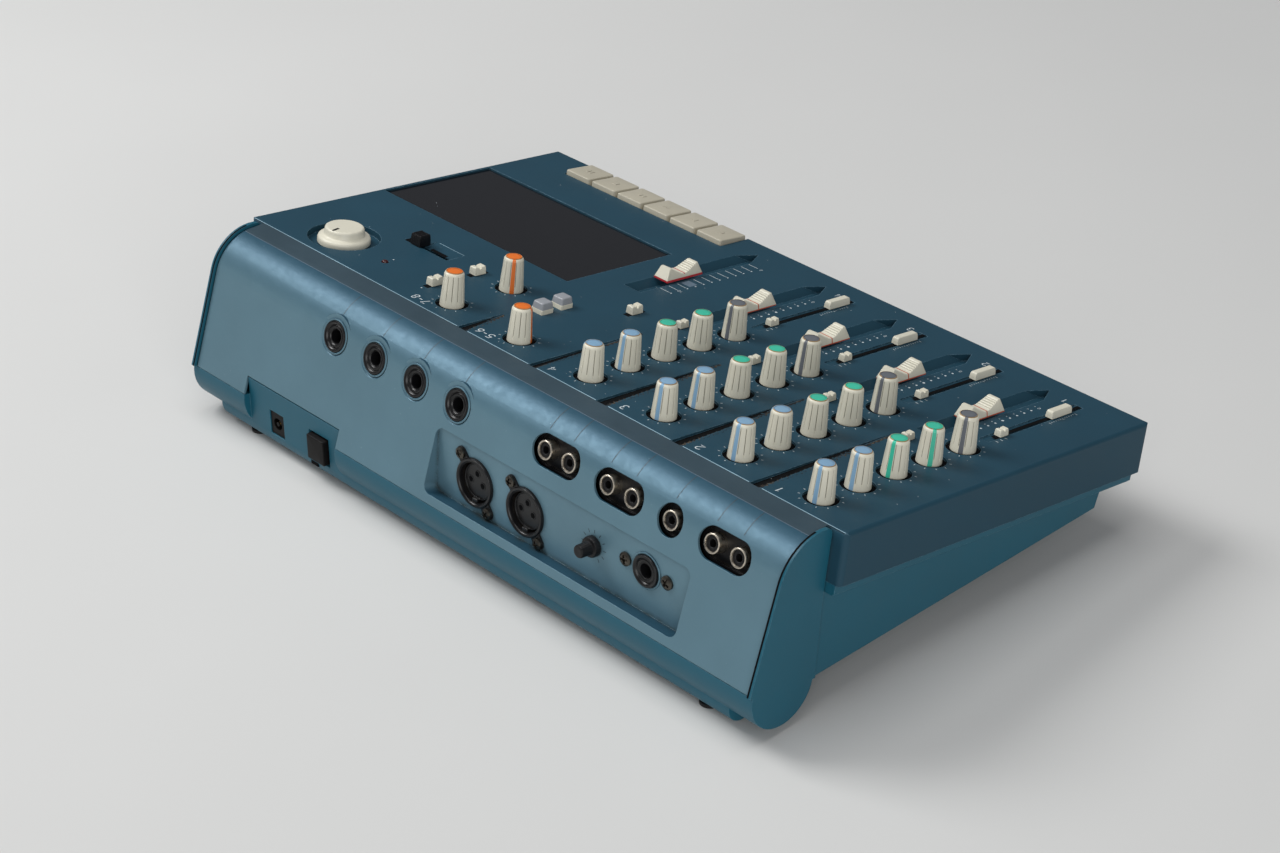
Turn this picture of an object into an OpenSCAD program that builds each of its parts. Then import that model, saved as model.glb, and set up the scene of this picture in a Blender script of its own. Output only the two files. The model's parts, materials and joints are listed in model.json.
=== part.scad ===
// Desktop four track cassette recorder with a sloping mixer panel and a connector pod at the rear.
// The deck frame has its origin at the middle of the panel's rear edge. Panel places are measured
// along the slope from there: x to the user's right, y negative towards the user.

/* [Layout across the panel] */
// From the cover's left edge to channel 1's knob line
side_margin = 26.95; // [26:0.05:29]
// Distance from one channel to the next
channel_pitch = 43.55; // [42.5:0.05:45]
// Distance from a knob line to its fader line
fader_offset = 17.7; // [17:0.1:18.5]
// From channel 4's fader line to the master fader
master_step = 43.2; // [42:0.1:46]
// From the master fader to the lid's left edge
lid_step = 21.4; // [20:0.1:24]
// Width of the smoked lid
lid_w = 127; // [125:0.5:132]
// Rim of the cover to the right of the lid
lid_rim = 3.1; // [3:0.1:3.6]

/* [Top cover] */
// Depth of the top cover, measured along its slope
cover_d = 190.6; // [190.2:0.2:196]
// Thickness of the cover's wall
cover_t = 2.4; // [2.2:0.1:2.8]
// Depth of the cover's skirt at the front and the sides
skirt_h = 23; // [20:0.5:25]
// Depth of the short skirt behind the connector pod
rear_skirt_h = 11; // [8:0.5:12]
// Slope of the control panel, in degrees
tilt = 9.05; // [8:0.05:10]
// Rounding of the cover's upper edges
edge_r = 1.6; // [1:0.1:2]
// Rounding of the cover's corners in plan
corner_r = 2.5; // [2.5:0.5:5]

/* [Bottom case] */
// How far the tub's sides stand in from the cover's
tub_inset = 7.5; // [6.5:0.5:9]
// Wall of the bottom case
case_t = 2.5; // [2:0.1:3]
// Height of the tub's floor below the panel's rear edge
tub_drop = 65.4; // [63:0.2:67]
// Where the tub's front wall meets the floor
tub_front = 164.3; // [160:0.1:166]
// How far the front wall leans forward
tub_lean_y = 3; // [1:0.5:4]
// Height over which the front wall leans
tub_lean_z = 7.4; // [5:0.2:8]
// How far the rim band under the skirt stands in from it
rim_inset = 2; // [1:0.25:3]
// Width of the ledge that carries the skirt
rim_wall = 12; // [9.5:0.5:13]
// Reach of the rim band towards the front
rim_front = 187; // [184:0.5:189]
// Height of the rim band
rim_h = 4; // [3:0.5:5]

/* [Connector pod] */
// Radius of the pod's rounded top
pod_r = 20.75; // [19:0.25:22]
// Centre of the rounded top behind the panel edge
pod_y = 8.1; // [7.5:0.1:9]
// Centre of the rounded top below the panel edge
pod_drop = 20.6; // [20:0.1:22]
// Lean of the pod's rear face from upright, in degrees
lean = 19.5; // [18:0.5:21]
// Length of the rear face from the rounding to the seam
face_len = 46.9; // [45:0.1:50]
// Thickness of the metal panel
panel_t = 1.2; // [1:0.1:1.5]
// Gap between the cover and the metal panel
pod_gap = 0.8; // [0.5:0.1:1]
// Depth of the panel's front flange
flange_h = 12; // [8:1:14]
// Thickness of the end cheeks
cheek_t = 1.9; // [1.6:0.1:2.2]
// How far the cheeks stand out past the tub's sides
cheek_out = 1; // [0.5:0.1:1.2]
// Rounding of the cheeks' front corner
cheek_r = 3; // [2:0.5:4]
// Foot of the crease between cheek and tub, behind the panel edge
crease_y = 8.6; // [7:0.1:9.4]
// How far the cheeks stand above the metal panel
cheek_proud = 1.4; // [1:0.1:2]
// Radius of the lobe under the rear face
lobe_r = 17; // [16:0.5:18]
// How far the lobe runs up behind the seam
lobe_rise = 2.07; // [1:0.01:3]
// Radius of the belly ridge
belly_r = 8; // [7:0.5:9]
// Rear face of the belly ridge and the inlet panel
belly_y = 40.3; // [39.5:0.1:41]
// Lowest line of the belly ridge below the panel edge
belly_drop = 81; // [80:0.2:83]
// How far the belly ridge ends short of the tub's sides
belly_inset = 14.5; // [10:0.5:20]

/* [Inlet panel] */
// From the inlet panel's outer edge to the cover's side
inlet_margin = 44.5; // [43:0.5:46]
// Width of the inlet panel
inlet_w = 65; // [62:0.5:68]
// Top of the inlet panel below the panel edge
inlet_drop = 50; // [49:0.5:52]
// From the inlet panel's outer edge to the middle of the power inlet
dc_step = 19.3; // [18:0.1:21]
// Width of the power inlet
dc_w = 9.5; // [8:0.5:11]
// Height of the power inlet
dc_h = 11.5; // [9:0.5:12]
// From the power inlet to the middle of the power button
power_step = 30.5; // [29:0.1:32]
// Width of the power button
power_w = 12; // [10:0.5:13]
// Height of the power button
power_h = 12.5; // [11:0.5:13.5]
// Middle of the inlet and the power button below the panel edge
inlet_mid_drop = 65.6; // [65:0.2:67]
// How far the power button stands out
power_proud = 2.5; // [2.25:0.25:3]
// Gap round the power button
power_gap = 0.9; // [0.5:0.1:1.2]

/* [Knobs] */
// Rear row of knobs in front of the panel edge
knob_row_y = 14.5; // [13.5:0.1:16]
// Distance from one knob row to the next
knob_row_pitch = 21.33; // [20.5:0.01:22]
// Height of a knob
knob_h = 15.3; // [13:0.1:18]
// Diameter of a knob's base
knob_base_d = 10.9; // [10:0.1:12]
// Diameter of a knob under its rounded shoulder
knob_top_d = 9.4; // [8:0.1:9.8]
// Rounding of the knob's shoulder
knob_shoulder_r = 1.8; // [1:0.1:2.4]
// Diameter of the shallow recess round each knob
knob_recess_d = 14.8; // [13.5:0.1:16]
// Depth of the shallow recess
knob_recess_h = 1.2; // [1:0.1:1.4]
// Radius of the knob shafts
shaft_r = 2; // [1.8:0.1:2.2]
// Radial clearance of a shaft in its bearing
shaft_fit = 0.06; // [0.03:0.01:0.1]
// How deep a shaft reaches below the panel
shaft_reach = 10.3; // [9:0.1:12]
// From the lid's left edge to the level 7-8 knob
level_b_step = 6.1; // [4:0.1:8]
// From the master fader back to the level 5-6 knob
level_a_step = 16.5; // [15:0.1:18]
// Row of the monitor knob
monitor_y = 48.9; // [46:0.1:52]
// From the lid's right edge back to the pitch knob
pitch_step = 36.9; // [35:0.1:39]
// Row of the pitch knob
pitch_y = 22; // [21:0.5:24]
// Diameter of the pitch knob's top
pitch_top_d = 18.2; // [16:0.1:20]
// Diameter of the pitch knob's skirt
pitch_skirt_d = 24.3; // [22:0.1:26]
// Height of the pitch knob above the panel
pitch_top_h = 5; // [4:0.1:6]
// Diameter of the dish round the pitch knob
dish_d = 33.5; // [30:0.5:36]
// Depth of the dish
dish_h = 3; // [2.6:0.1:3.6]

/* [Faders] */
// Length of a fader cap
cap_l = 22.5; // [20:0.5:24]
// Width of a fader cap
cap_w = 8.8; // [7.5:0.1:9.6]
// Height of a fader cap above the panel
cap_h = 6.3; // [5:0.1:8]
// Spacing of the two humps of a cap
hump_pitch = 15; // [13:0.5:17]
// Height of the saddle between the humps
saddle_h = 3; // [2:0.1:4]
// Rear end of a fader's travel
fader_rear = 108.6; // [108:0.1:110]
// Front end of a fader's travel
fader_front = 165.8; // [163:0.1:167]
// Half width of the trough under a cap
trough_half_w = 5.3; // [5.2:0.1:6]
// Depth of the trough
trough_h = 3.2; // [2.8:0.1:3.6]
// Rear end of the trough
trough_rear = 97; // [95:0.5:99]
// Front point of the trough
trough_front = 178.5; // [178:0.5:181]
// Offset of a fader's stem from its line
stem_offset = 3.6; // [3:0.1:3.7]
// Thickness of the fader stems
stem_t = 1.2; // [1:0.1:1.6]
// Length of the fader stems along the travel
stem_l = 4; // [3:0.5:5]

/* [Switches and buttons] */
// Height of a small white slide cap
slide_h = 4.6; // [4:0.1:5.5]
// Length of a small white slide cap
slide_l = 9; // [8:0.5:10]
// Width of a small white slide cap
slide_w = 5; // [4:0.1:6]
// Length of a trim slider
trim_l = 16.6; // [14:0.2:18]
// Width of a trim slider
trim_w = 4.6; // [4:0.1:5]
// Row of the effect switches
effect_y = 85.5; // [84:0.1:87]
// Row of the input switches
input_y = 123; // [121:0.1:124]
// Width of the strip groove that holds the input switch and the trim slider
strip_groove_w = 4.8; // [4:0.1:5.6]
// From the level 7-8 knob to the mode switches beside it
mode_step = 20; // [18:0.5:22]
// Side of a square push button
push_side = 7; // [6:0.1:8]
// Height of a push button
push_h = 5; // [4:0.1:6]
// From the master fader's line to the push buttons
push_step = 1; // [0:0.5:3]
// Row of the first push button
push_y = 43.5; // [42:0.1:45]
// Distance between the push buttons
push_pitch = 11.5; // [11:0.1:13]
// Side of the black slide cap
black_side = 6.5; // [5:0.1:7.5]
// Height of the black slide cap
black_h = 5.5; // [4:0.1:7]
// Width of one transport key
key_w = 16.5; // [15:0.1:17.5]
// Distance from one transport key to the next
key_pitch = 18.15; // [17.9:0.05:18.4]
// From the lid's right edge back to the rightmost transport key
key_step = 31.9; // [31:0.1:33]
// Rear edge of the transport keys
key_rear = 171; // [170.5:0.1:172]
// Front edge of the transport keys
key_front = 188.5; // [187:0.1:189]
// Height of the transport keys above the panel
key_h = 2.3; // [1.5:0.1:3]

/* [Lid and tape deck] */
// Rear edge of the smoked lid
lid_rear = 78.2; // [77.8:0.1:79]
// Front edge of the smoked lid
lid_front = 142.1; // [141:0.1:143]
// Thickness of the lid
lid_t = 2.6; // [2.4:0.1:2.8]
// How far the lid lies below the panel
lid_sink = 0.9; // [0.6:0.1:1]
// Radius of the lid's hinge pins
hinge_r = 1; // [0.8:0.05:1.1]
// Length of the lid's hinge pins
hinge_l = 2; // [1.6:0.1:2.2]
// Depth of the tape deck's floor below the panel
deck_floor = 16.5; // [16.2:0.1:16.9]
// From the lid's right edge back to the middle of the cassette
cassette_step = 53.7; // [52.5:0.1:55]
// Distance between the two hubs
hub_pitch = 42.5; // [42:0.1:43]
// Row of the hubs
hub_y = 111.6; // [110:0.2:113]
// Radius of a drive hub
hub_r = 4.6; // [4:0.1:5]
// Radius of the capstan
capstan_r = 1.25; // [1:0.05:1.5]
// Radius of the flywheel
flywheel_r = 15; // [13:0.5:16]
// Radius of the motor
motor_r = 13; // [11:0.5:14]
// Length of the motor
motor_h = 18; // [16:0.5:20]

/* [Rear connectors] */
// Radius of a phone jack's bore
jack_bore_r = 3.2; // [3.15:0.01:3.3]
// Depth of a phone jack's bore
jack_bore_l = 31; // [28:0.5:32]
// Height of the upper phone jacks on the rear face
jack_t = 46.5; // [45:0.1:47.5]
// From the cover's right side to the nearest upper phone jack
jack_margin = 94.5; // [93:0.1:96]
// Distance from one upper phone jack to the next
jack_pitch = 27.07; // [26.5:0.01:27.5]
// Diameter of the dish round an upper phone jack
jack_dish_d = 17.4; // [16:0.1:18]
// Diameter of the collar of a phone jack
collar_d = 13.6; // [13.2:0.1:14.4]
// Diameter of the black body in the collar
jack_face_d = 12; // [11:0.1:12.6]
// Height of the pin jacks on the rear face
pin_t = 47.9; // [46.5:0.1:48.5]
// Distance between the two jacks of a pair
pin_pitch = 14.1; // [13.6:0.1:14.6]
// Diameter of a pin jack's shell
pin_d = 8.3; // [8:0.1:8.6]
// Diameter of the wells round the pin jacks
well_d = 13.8; // [13:0.1:14.4]
// Depth of the wells
well_h = 5; // [4:0.1:6]
// Left edge of the microphone recess
recess_x0 = -134.3; // [-136:0.1:-132]
// Right edge of the microphone recess
recess_x1 = 17.5; // [16:0.1:19]
// Lower edge of the recess on the rear face
recess_t0 = 4.4; // [4:0.1:5]
// Upper edge of the recess on the rear face
recess_t1 = 34; // [33:0.1:35]
// Depth of the recess at its upper edge
recess_top_h = 0.8; // [0.6:0.1:1]
// Depth of the recess at its lower edge
recess_low_h = 8; // [7:0.1:9]
// Rounding of the recess's corners
recess_r = 4; // [3:0.5:5]
// Middle of the first microphone socket
mic_x = -7.1; // [-9:0.1:-5]
// Distance between the microphone sockets
mic_pitch = 31.3; // [31:0.1:33]
// Row of the microphone sockets below the recess's upper edge
mic_v = 16.6; // [16.5:0.1:17.5]
// Diameter of a microphone socket's flange
mic_flange_d = 22; // [21:0.1:23]
// Sideways place of a flange's ear
ear_x = 9; // [8.5:0.1:9.5]
// Upward place of a flange's ear
ear_v = 10.6; // [10.2:0.1:11]
// Middle of the microphone trim knob
mic_trim_x = -79; // [-82:0.1:-76]
// Row of the microphone trim knob
mic_trim_v = 14; // [12:0.1:16]
// Middle of the guitar jack
guitar_x = -109.4; // [-111:0.1:-108]
// Row of the guitar jack
guitar_v = 11.5; // [11:0.1:13]
// Distance of its screws to either side
guitar_screw_x = 11.8; // [11:0.1:13]

/* [Feet] */
// Height of the pads under the belly ridge
pad_h = 1.5; // [1:0.1:2.5]
// Radius of the feet
foot_r = 7; // [5:0.5:8]
// Distance of the feet from the cover's sides
foot_inset = 40; // [35:1:50]
// Row of the front feet in front of the panel edge
front_foot_y = 146; // [135:1:150]

/* [Hidden] */
strip_names = ["eq_high", "eq_low", "effect_1", "effect_2", "pan"];
key_names = ["pause", "stop", "fast_forward", "rewind", "play", "record"];
channels = [1, 2, 3, 4];
$fn = 48;

gap = 0.3;                     // clearance between a moving piece and what it passes
over = 1;                      // how far a cut runs past the face that it leaves
board_top = 16;                // main board's upper face below the panel
board_t = 1.5;
pot_r = 6;
pot_h = 10;
board_rear = 10;
board_split_step = 12.5;       // the board's front part ends past the master fader's line
board_split_y = 70;
board_inset = 5.5;             // from the tub's side to the main board
body_h = 8;                    // height of the fader and switch bodies on the board
stem_reach = 12;
led_r = 1.5;
led_step = 32.7;               // from the pitch knob back to the lamp
led_y = 19.1;
master_mode_step = 21;         // from the master fader's line back to its mode switch
master_mode_y = 78;
mode_a_y = 21.5;
mode_b_y = 46.5;
slide_travel = 3;
trim_travel = 3.7;
strip_front = 176;              // groove round the switch and slider of a strip
strip_rear = 113;
strip_h = 0.6;
trim_rest = [159.4, 161.6, 160.4, 164];       // resting rows of the four trim sliders
fader_rest = [131.2, 131.2, 130.4, 129.3];    // resting rows of the four channel faders
master_rest = 125.8;
black_step = 24.5;             // from the pitch knob back to the black slide
black_y = 46.5;
black_slot_left = 20.5;        // how far the slot runs to either side of the slide at rest
black_slot_right = 8.5;
black_slot_w = 4;
thumb_step = 1.5;              // finger recess beside the black slide
thumb_front = 55.6;
thumb_h = 1.8;
stem_side = 3;                 // square stems of the keys and buttons
key_reach = 15;
key_body = 4.5;                // how far a key's cap reaches below the panel
key_travel = 3;
push_travel = 1.5;
rail_h = 5;
rail_rear = 174.5;
rail_front = 186.5;
deck_t = 1.5;
deck_wall = 1.6;
deck_in_left = 2.1;            // from the lid's edges to the deck's sides
deck_in_right = 1.4;
deck_rear = 80;
deck_front = 142.5;
post_r = 4;
// steps between the panel's strips: from the knob line on the left, width, and length
steps = [[1, 24.7, 6.2, 87], [2, 24.9, 6.3, 81], [3, 24.9, 6.8, 75], [4, 22.6, 4.7, 68], [4, 68, 6.1, 27]];
step_h = 1.4;

// places across the panel, from the middle of the cover
cover_w = side_margin + 3 * channel_pitch + fader_offset + master_step + lid_step + lid_w + lid_rim;
channel_1_x = cover_w / 2 - side_margin;
master_x = 3 * channel_pitch - channel_1_x + fader_offset + master_step;
lid_x0 = master_x + lid_step;
lid_x1 = lid_x0 + lid_w;
level_a_x = master_x - level_a_step;
level_b_x = lid_x0 + level_b_step;
mode_x = level_b_x + mode_step;
push_x = master_x + push_step;
master_mode_x = master_x - master_mode_step;
pitch_x = lid_x1 - pitch_step;
led_x = pitch_x - led_step;
black_x = pitch_x - black_step;
black_slot_x0 = black_x - black_slot_left;
black_slot_x1 = black_x + black_slot_right;
thumb_x1 = black_x - thumb_step;
key_x = lid_x1 - key_step;
cassette_x = lid_x1 - cassette_step;
deck_x0 = lid_x0 + deck_in_left;
deck_x1 = lid_x1 - deck_in_right;
tub_half_w = cover_w / 2 - tub_inset;
rim_half_w = cover_w / 2 - rim_inset;
cheek_half_w = tub_half_w + cheek_out;
cheek_in = cheek_half_w - cheek_t;
panel_half_w = cheek_in - 2 * gap;
belly_half_w = tub_half_w - belly_inset;
board_half_w = tub_half_w - board_inset;
board_split_x = master_x + board_split_step;
inlet_x1 = cover_w / 2 - inlet_margin;
inlet_x0 = inlet_x1 - inlet_w;
dc_x = inlet_x1 - dc_step;
dc_drop = inlet_mid_drop + 1;
power_x = dc_x - power_step;
jack_x = cover_w / 2 - jack_margin;
foot_x = cover_w / 2 - foot_inset;

// points that follow from the sizes above, as [y, z] in the deck frame
face_n = [cos(lean), sin(lean)];
face_u = [-sin(lean), cos(lean)];
pod_c = [pod_y, -pod_drop];
seam = pod_c + pod_r * face_n - face_len * face_u;
lobe_c = seam + lobe_rise * face_u - lobe_r * face_n;
belly_c = [belly_y - belly_r, belly_r - belly_drop];
front_reach = (cover_d - edge_r) * cos(tilt) - edge_r * sin(tilt) + edge_r;
rear_reach = seam[0] + cheek_proud * face_n[0];
deck_y = (front_reach - rear_reach) / 2;
deck_z = belly_drop + pad_h;
recess_angle = atan((recess_low_h - recess_top_h) / (recess_t1 - recess_t0));
lid_axis = [-(lid_rear + lid_t / 2), -(lid_sink + lid_t / 2)];

function channel_x(c) = (c - 1) * channel_pitch - channel_1_x;
function row_y(i) = -(knob_row_y + i * knob_row_pitch);
function fader_x(c) = channel_x(c) + fader_offset;
// a place [y, z] on the panel, seen in the deck frame
function panel_pt(y, z) = [y * cos(tilt) - z * sin(tilt), y * sin(tilt) + z * cos(tilt)];

module on_deck() {
    translate([0, deck_y, deck_z]) children();
}

module on_panel() {
    on_deck() rotate([tilt, 0, 0]) children();
}

// rear face: x runs to the left of the user, y up the face from the seam, z outwards
module on_face() {
    on_deck() translate([0, seam[0], seam[1]]) rotate([lean - 90, 0, 0]) rotate([0, 0, 180]) children();
}

// floor of the microphone recess, with y downwards negative from its upper edge
module on_recess() {
    on_face() translate([0, recess_t1, -recess_top_h]) rotate([recess_angle, 0, 0]) children();
}

// a [y, z] outline carried along x
module along_x(x0, x1) {
    translate([x0, 0, 0]) rotate([90, 0, 90]) linear_extrude(x1 - x0) children();
}

// an [x, z] outline carried along y
module along_y(y0, y1) {
    translate([0, y1, 0]) rotate([90, 0, 0]) linear_extrude(y1 - y0) children();
}

module box(x0, x1, y0, y1, z0, z1) {
    translate([x0, y0, z0]) cube([x1 - x0, y1 - y0, z1 - z0]);
}

module block(x, y, w, l, z0, z1) {
    box(x - w / 2, x + w / 2, y - l / 2, y + l / 2, z0, z1);
}

module rod(x, y, r, z0, z1) {
    translate([x, y, z0]) cylinder(r = r, h = z1 - z0);
}

module soft_rect(x0, x1, y0, y1, r) {
    translate([x0 + r, y0]) square([x1 - x0 - 2 * r, y1 - y0]);
    translate([x0, y0 + r]) square([x1 - x0, y1 - y0 - 2 * r]);
    for (x = [x0 + r, x1 - r], y = [y0 + r, y1 - r]) translate([x, y]) circle(r = r);
}

// ---------- knobs ----------

// half outline of a fluted knob: straight taper, then a rounded shoulder
function knob_outline(base_r, top_r, h, r) = concat(
    [[0, gap - knob_recess_h], [base_r, gap - knob_recess_h]],
    [for (a = [0:15:90]) [top_r - r + r * cos(a), h - r + r * sin(a)]],
    [[0, h]]
);

module knob(x, y) {
    on_panel() translate([x, y, 0]) {
        rotate_extrude() polygon(knob_outline(knob_base_d / 2, knob_top_d / 2, knob_h, knob_shoulder_r));
        rod(0, 0, shaft_r, -shaft_reach, 0);
    }
}

module channel_knob(c, i) {
    color("ivory") knob(channel_x(c), row_y(i));
}

module orange_knob(x, y) {
    color("orange") knob(x, y);
}

module pitch_knob() {
    foot_z = gap - dish_h;
    rim_z = 1;
    flare = 1.4;
    color("ivory") on_panel() translate([pitch_x, -pitch_y, 0]) {
        rotate_extrude() polygon([
            [0, foot_z], [pitch_skirt_d / 2, foot_z], [pitch_skirt_d / 2, rim_z - flare],
            [pitch_skirt_d / 2 - flare, rim_z], [pitch_top_d / 2, rim_z + flare / 2],
            [pitch_top_d / 2, pitch_top_h - flare / 2], [pitch_top_d / 2 - flare / 2, pitch_top_h],
            [0, pitch_top_h]
        ]);
        rod(0, 0, shaft_r, -shaft_reach, 0);
    }
}

mic_knob_d = 7.6;
mic_knob_tip_d = 5.9;
mic_knob_h = 10;
mic_knob_lip = 3.5;
mic_pot_h = 8;

module mic_trim_knob() {
    color("black") on_recess() translate([-mic_trim_x, -mic_trim_v, 0]) {
        rod(0, 0, mic_knob_d / 2, gap, mic_knob_lip);
        rod(0, 0, mic_knob_tip_d / 2, mic_knob_lip, mic_knob_h);
        rod(0, 0, shaft_r, -panel_t - mic_pot_h / 2, gap);
    }
}

// ---------- faders, switches and buttons ----------

module fader_cap(x, y) {
    cap_foot = 0.4;
    side_draft = 0.9;
    end_draft = 1.2;
    saddle_half = hump_pitch / 2 - 2;
    dip = cap_h - saddle_h;
    saddle_r = (saddle_half * saddle_half + dip * dip) / (2 * dip);
    on_panel() translate([x, y, 0]) {
        intersection() {
            along_x(-cap_w, cap_w) difference() {
                polygon([
                    [-cap_l / 2, cap_foot], [cap_l / 2, cap_foot],
                    [cap_l / 2 - end_draft, cap_h], [end_draft - cap_l / 2, cap_h]
                ]);
                translate([0, saddle_h + saddle_r]) circle(r = saddle_r);
            }
            along_y(-cap_l, cap_l) polygon([
                [-cap_w / 2, 0], [cap_w / 2, 0],
                [cap_w / 2 - side_draft, cap_h + over], [side_draft - cap_w / 2, cap_h + over]
            ]);
        }
        block(-stem_offset, 0, stem_t, stem_l, -stem_reach, 1);
    }
}

module channel_fader(c) {
    color("ivory") fader_cap(fader_x(c), -fader_rest[c - 1]);
}

module master_fader() {
    color("crimson") fader_cap(master_x, -master_rest);
}

// small cap with two humps and a stem down to its switch
module slide_cap(x, y) {
    foot = 0.3;
    dip_r = 2.4;
    dip_h = 1.3;
    on_panel() translate([x, y, 0]) {
        along_x(-slide_w / 2, slide_w / 2) difference() {
            polygon([
                [-slide_l / 2, foot], [slide_l / 2, foot],
                [slide_l / 2 - 1, slide_h], [1 - slide_l / 2, slide_h]
            ]);
            translate([0, slide_h - dip_h + dip_r]) circle(r = dip_r);
        }
        block(0, 0, stem_t, stem_side, -stem_reach, 1);
    }
}

// long trim slider: flat top, sloped towards the user
module trim_cap(x, y) {
    foot = 0.3;
    ramp = 4;
    on_panel() translate([x, y, 0]) {
        along_x(-trim_w / 2, trim_w / 2) polygon([
            [-trim_l / 2, foot], [trim_l / 2, foot], [trim_l / 2 - 0.6, slide_h],
            [ramp - trim_l / 2, slide_h], [-trim_l / 2, 1.6]
        ]);
        block(0, 0, stem_t, stem_side, -stem_reach, 1);
    }
}

module trim_sliders() {
    color("ivory") for (c = channels) trim_cap(channel_x(c), -trim_rest[c - 1]);
}

module input_switches() {
    color("ivory") for (c = channels) slide_cap(channel_x(c), -input_y);
}

module effect_switches() {
    color("ivory") for (c = channels) slide_cap(fader_x(c), -effect_y);
}

module mode_switches() {
    color("ivory") {
        slide_cap(mode_x, -mode_a_y);
        slide_cap(mode_x, -mode_b_y);
        slide_cap(master_mode_x, -master_mode_y);
    }
}

module slide_switch() {
    color("black") on_panel() {
        block(black_x, -black_y, black_side, black_side, 0.3, black_h);
        block(black_x, -black_y, stem_side, stem_t, -stem_reach, 1);
    }
}

module push_button(y) {
    on_panel() {
        block(push_x, y, push_side, push_side, -1, push_h);
        block(push_x, y, stem_side, stem_side, push_travel - stem_reach, 0);
    }
}

module push_buttons() {
    color("lightgray") for (i = [0, 1]) push_button(-push_y - i * push_pitch);
}

module transport_key(i) {
    x = key_x - i * key_pitch;
    y = -(key_rear + key_front) / 2;
    front_drop = 0.6;
    color("wheat") on_panel() {
        along_x(x - key_w / 2, x + key_w / 2) polygon([
            [-key_front, -key_body], [-key_rear, -key_body],
            [-key_rear, key_h], [-key_front, key_h - front_drop]
        ]);
        block(x, y, stem_side, stem_side, -key_reach, 0);
    }
}

module power_button() {
    color("black") on_deck() {
        box(power_x - power_w / 2, power_x + power_w / 2, belly_y - 8, belly_y + power_proud,
            -inlet_mid_drop - power_h / 2, power_h / 2 - inlet_mid_drop);
        box(power_x - stem_side / 2, power_x + stem_side / 2, belly_y - 16, belly_y - 7,
            -inlet_mid_drop - stem_side / 2, stem_side / 2 - inlet_mid_drop);
    }
}

module cassette_lid() {
    color("dimgray") on_panel() {
        box(lid_x0, lid_x1, -lid_front, -lid_rear, -lid_sink - lid_t, -lid_sink);
        translate([lid_x0 - hinge_l, lid_axis[0], lid_axis[1]])
            rotate([0, 90, 0]) cylinder(r = hinge_r, h = lid_x1 - lid_x0 + 2 * hinge_l);
    }
}

// ---------- top cover ----------

module cover_blank() {
    intersection() {
        along_x(-cover_w / 2, cover_w / 2) soft_rect(-cover_d, 0, -skirt_h - cover_d, 0, edge_r);
        along_y(-cover_d, 0) soft_rect(-cover_w / 2, cover_w / 2, -skirt_h - cover_d, 0, edge_r);
        translate([0, 0, -skirt_h]) linear_extrude(skirt_h)
            soft_rect(-cover_w / 2, cover_w / 2, -cover_d, 0, corner_r);
    }
}

module cover_hollow() {
    half = cover_w / 2 - cover_t;
    pod_half = panel_half_w - rim_wall;
    box(-half, half, cover_t - cover_d, -cover_t, -skirt_h - over, -cover_t);
    box(-pod_half, pod_half, -cover_t - over, over, -skirt_h - over, -rear_skirt_h);
}

module knob_seat(x, y) {
    rod(x, y, knob_recess_d / 2, -knob_recess_h, over);
    rod(x, y, shaft_r + gap, -cover_t - over, over);
}

// trough with an upright left wall, a sloped right wall and a pointed front end
module trough_cut(x) {
    flat = trough_half_w / 3;
    intersection() {
        along_y(-cover_d, 0) polygon([
            [x - trough_half_w, -trough_h], [x + flat, -trough_h],
            [x + trough_half_w, 0], [x + trough_half_w, over], [x - trough_half_w, over]
        ]);
        translate([0, 0, -trough_h]) linear_extrude(trough_h + over) polygon([
            [x - trough_half_w, -trough_rear], [x + trough_half_w, -trough_rear],
            [x + trough_half_w, 2 * trough_half_w - trough_front], [x, -trough_front],
            [x - trough_half_w, 2 * trough_half_w - trough_front]
        ]);
    }
    block(x - stem_offset, -(fader_rear + fader_front) / 2, stem_t + 2 * gap,
        fader_front - fader_rear + stem_l + 2 * gap, -trough_h - cover_t - over, 0);
}

module trough_pan(x) {
    wall = 1.6;
    box(x - trough_half_w - wall, x + trough_half_w + wall, -trough_front - wall, wall - trough_rear,
        -trough_h - wall, -cover_t);
}

// slot for a small slide that moves along y by the given distances from its resting place
module slide_slot(x, y, front, rear) {
    box(x - stem_t / 2 - gap, x + stem_t / 2 + gap, y - front - stem_side / 2 - gap,
        y + rear + stem_side / 2 + gap, -cover_t - over, over);
}

module strip_cut(c) {
    x = channel_x(c);
    for (i = [0:4]) knob_seat(x, row_y(i));
    box(x - strip_groove_w / 2, x + strip_groove_w / 2, -strip_front, -strip_rear, -strip_h, over);
    slide_slot(x, -input_y, slide_travel, 0);
    slide_slot(x, -trim_rest[c - 1], trim_travel, trim_travel);
    slide_slot(fader_x(c), -effect_y, slide_travel, 0);
    trough_cut(fader_x(c));
}

// shallow step between two strips: steep on the right, deepest at the rear edge
module step_cut(s) {
    x = channel_x(s[0]) + s[1];
    rise = atan(step_h / s[3]);
    rotate([-rise, 0, 0]) along_y(-s[3] - over, over) polygon([
        [x, over], [x, -step_h], [x - s[2], 0], [x - s[2], over]
    ]);
}

module pitch_cut() {
    rod(pitch_x, -pitch_y, dish_d / 2, -dish_h, over);
    rod(pitch_x, -pitch_y, shaft_r + gap, -dish_h - cover_t - over, 0);
}

module black_slide_cut() {
    box(black_slot_x0, black_slot_x1, -black_y - black_slot_w / 2, black_slot_w / 2 - black_y,
        -cover_t - over, over);
    along_x(black_slot_x0, thumb_x1) polygon([
        [-thumb_front, 0], [-black_y, -thumb_h], [-black_y, over], [-thumb_front, over]
    ]);
}

lid_gap = 0.4;
lid_rear_gap = 1.7;
key_gap = 0.5;

module well_cut() {
    box(lid_x0 - lid_gap, lid_x1 + lid_gap, -lid_front - lid_gap, lid_rear_gap - lid_rear,
        -cover_t - over, over);
}

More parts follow.
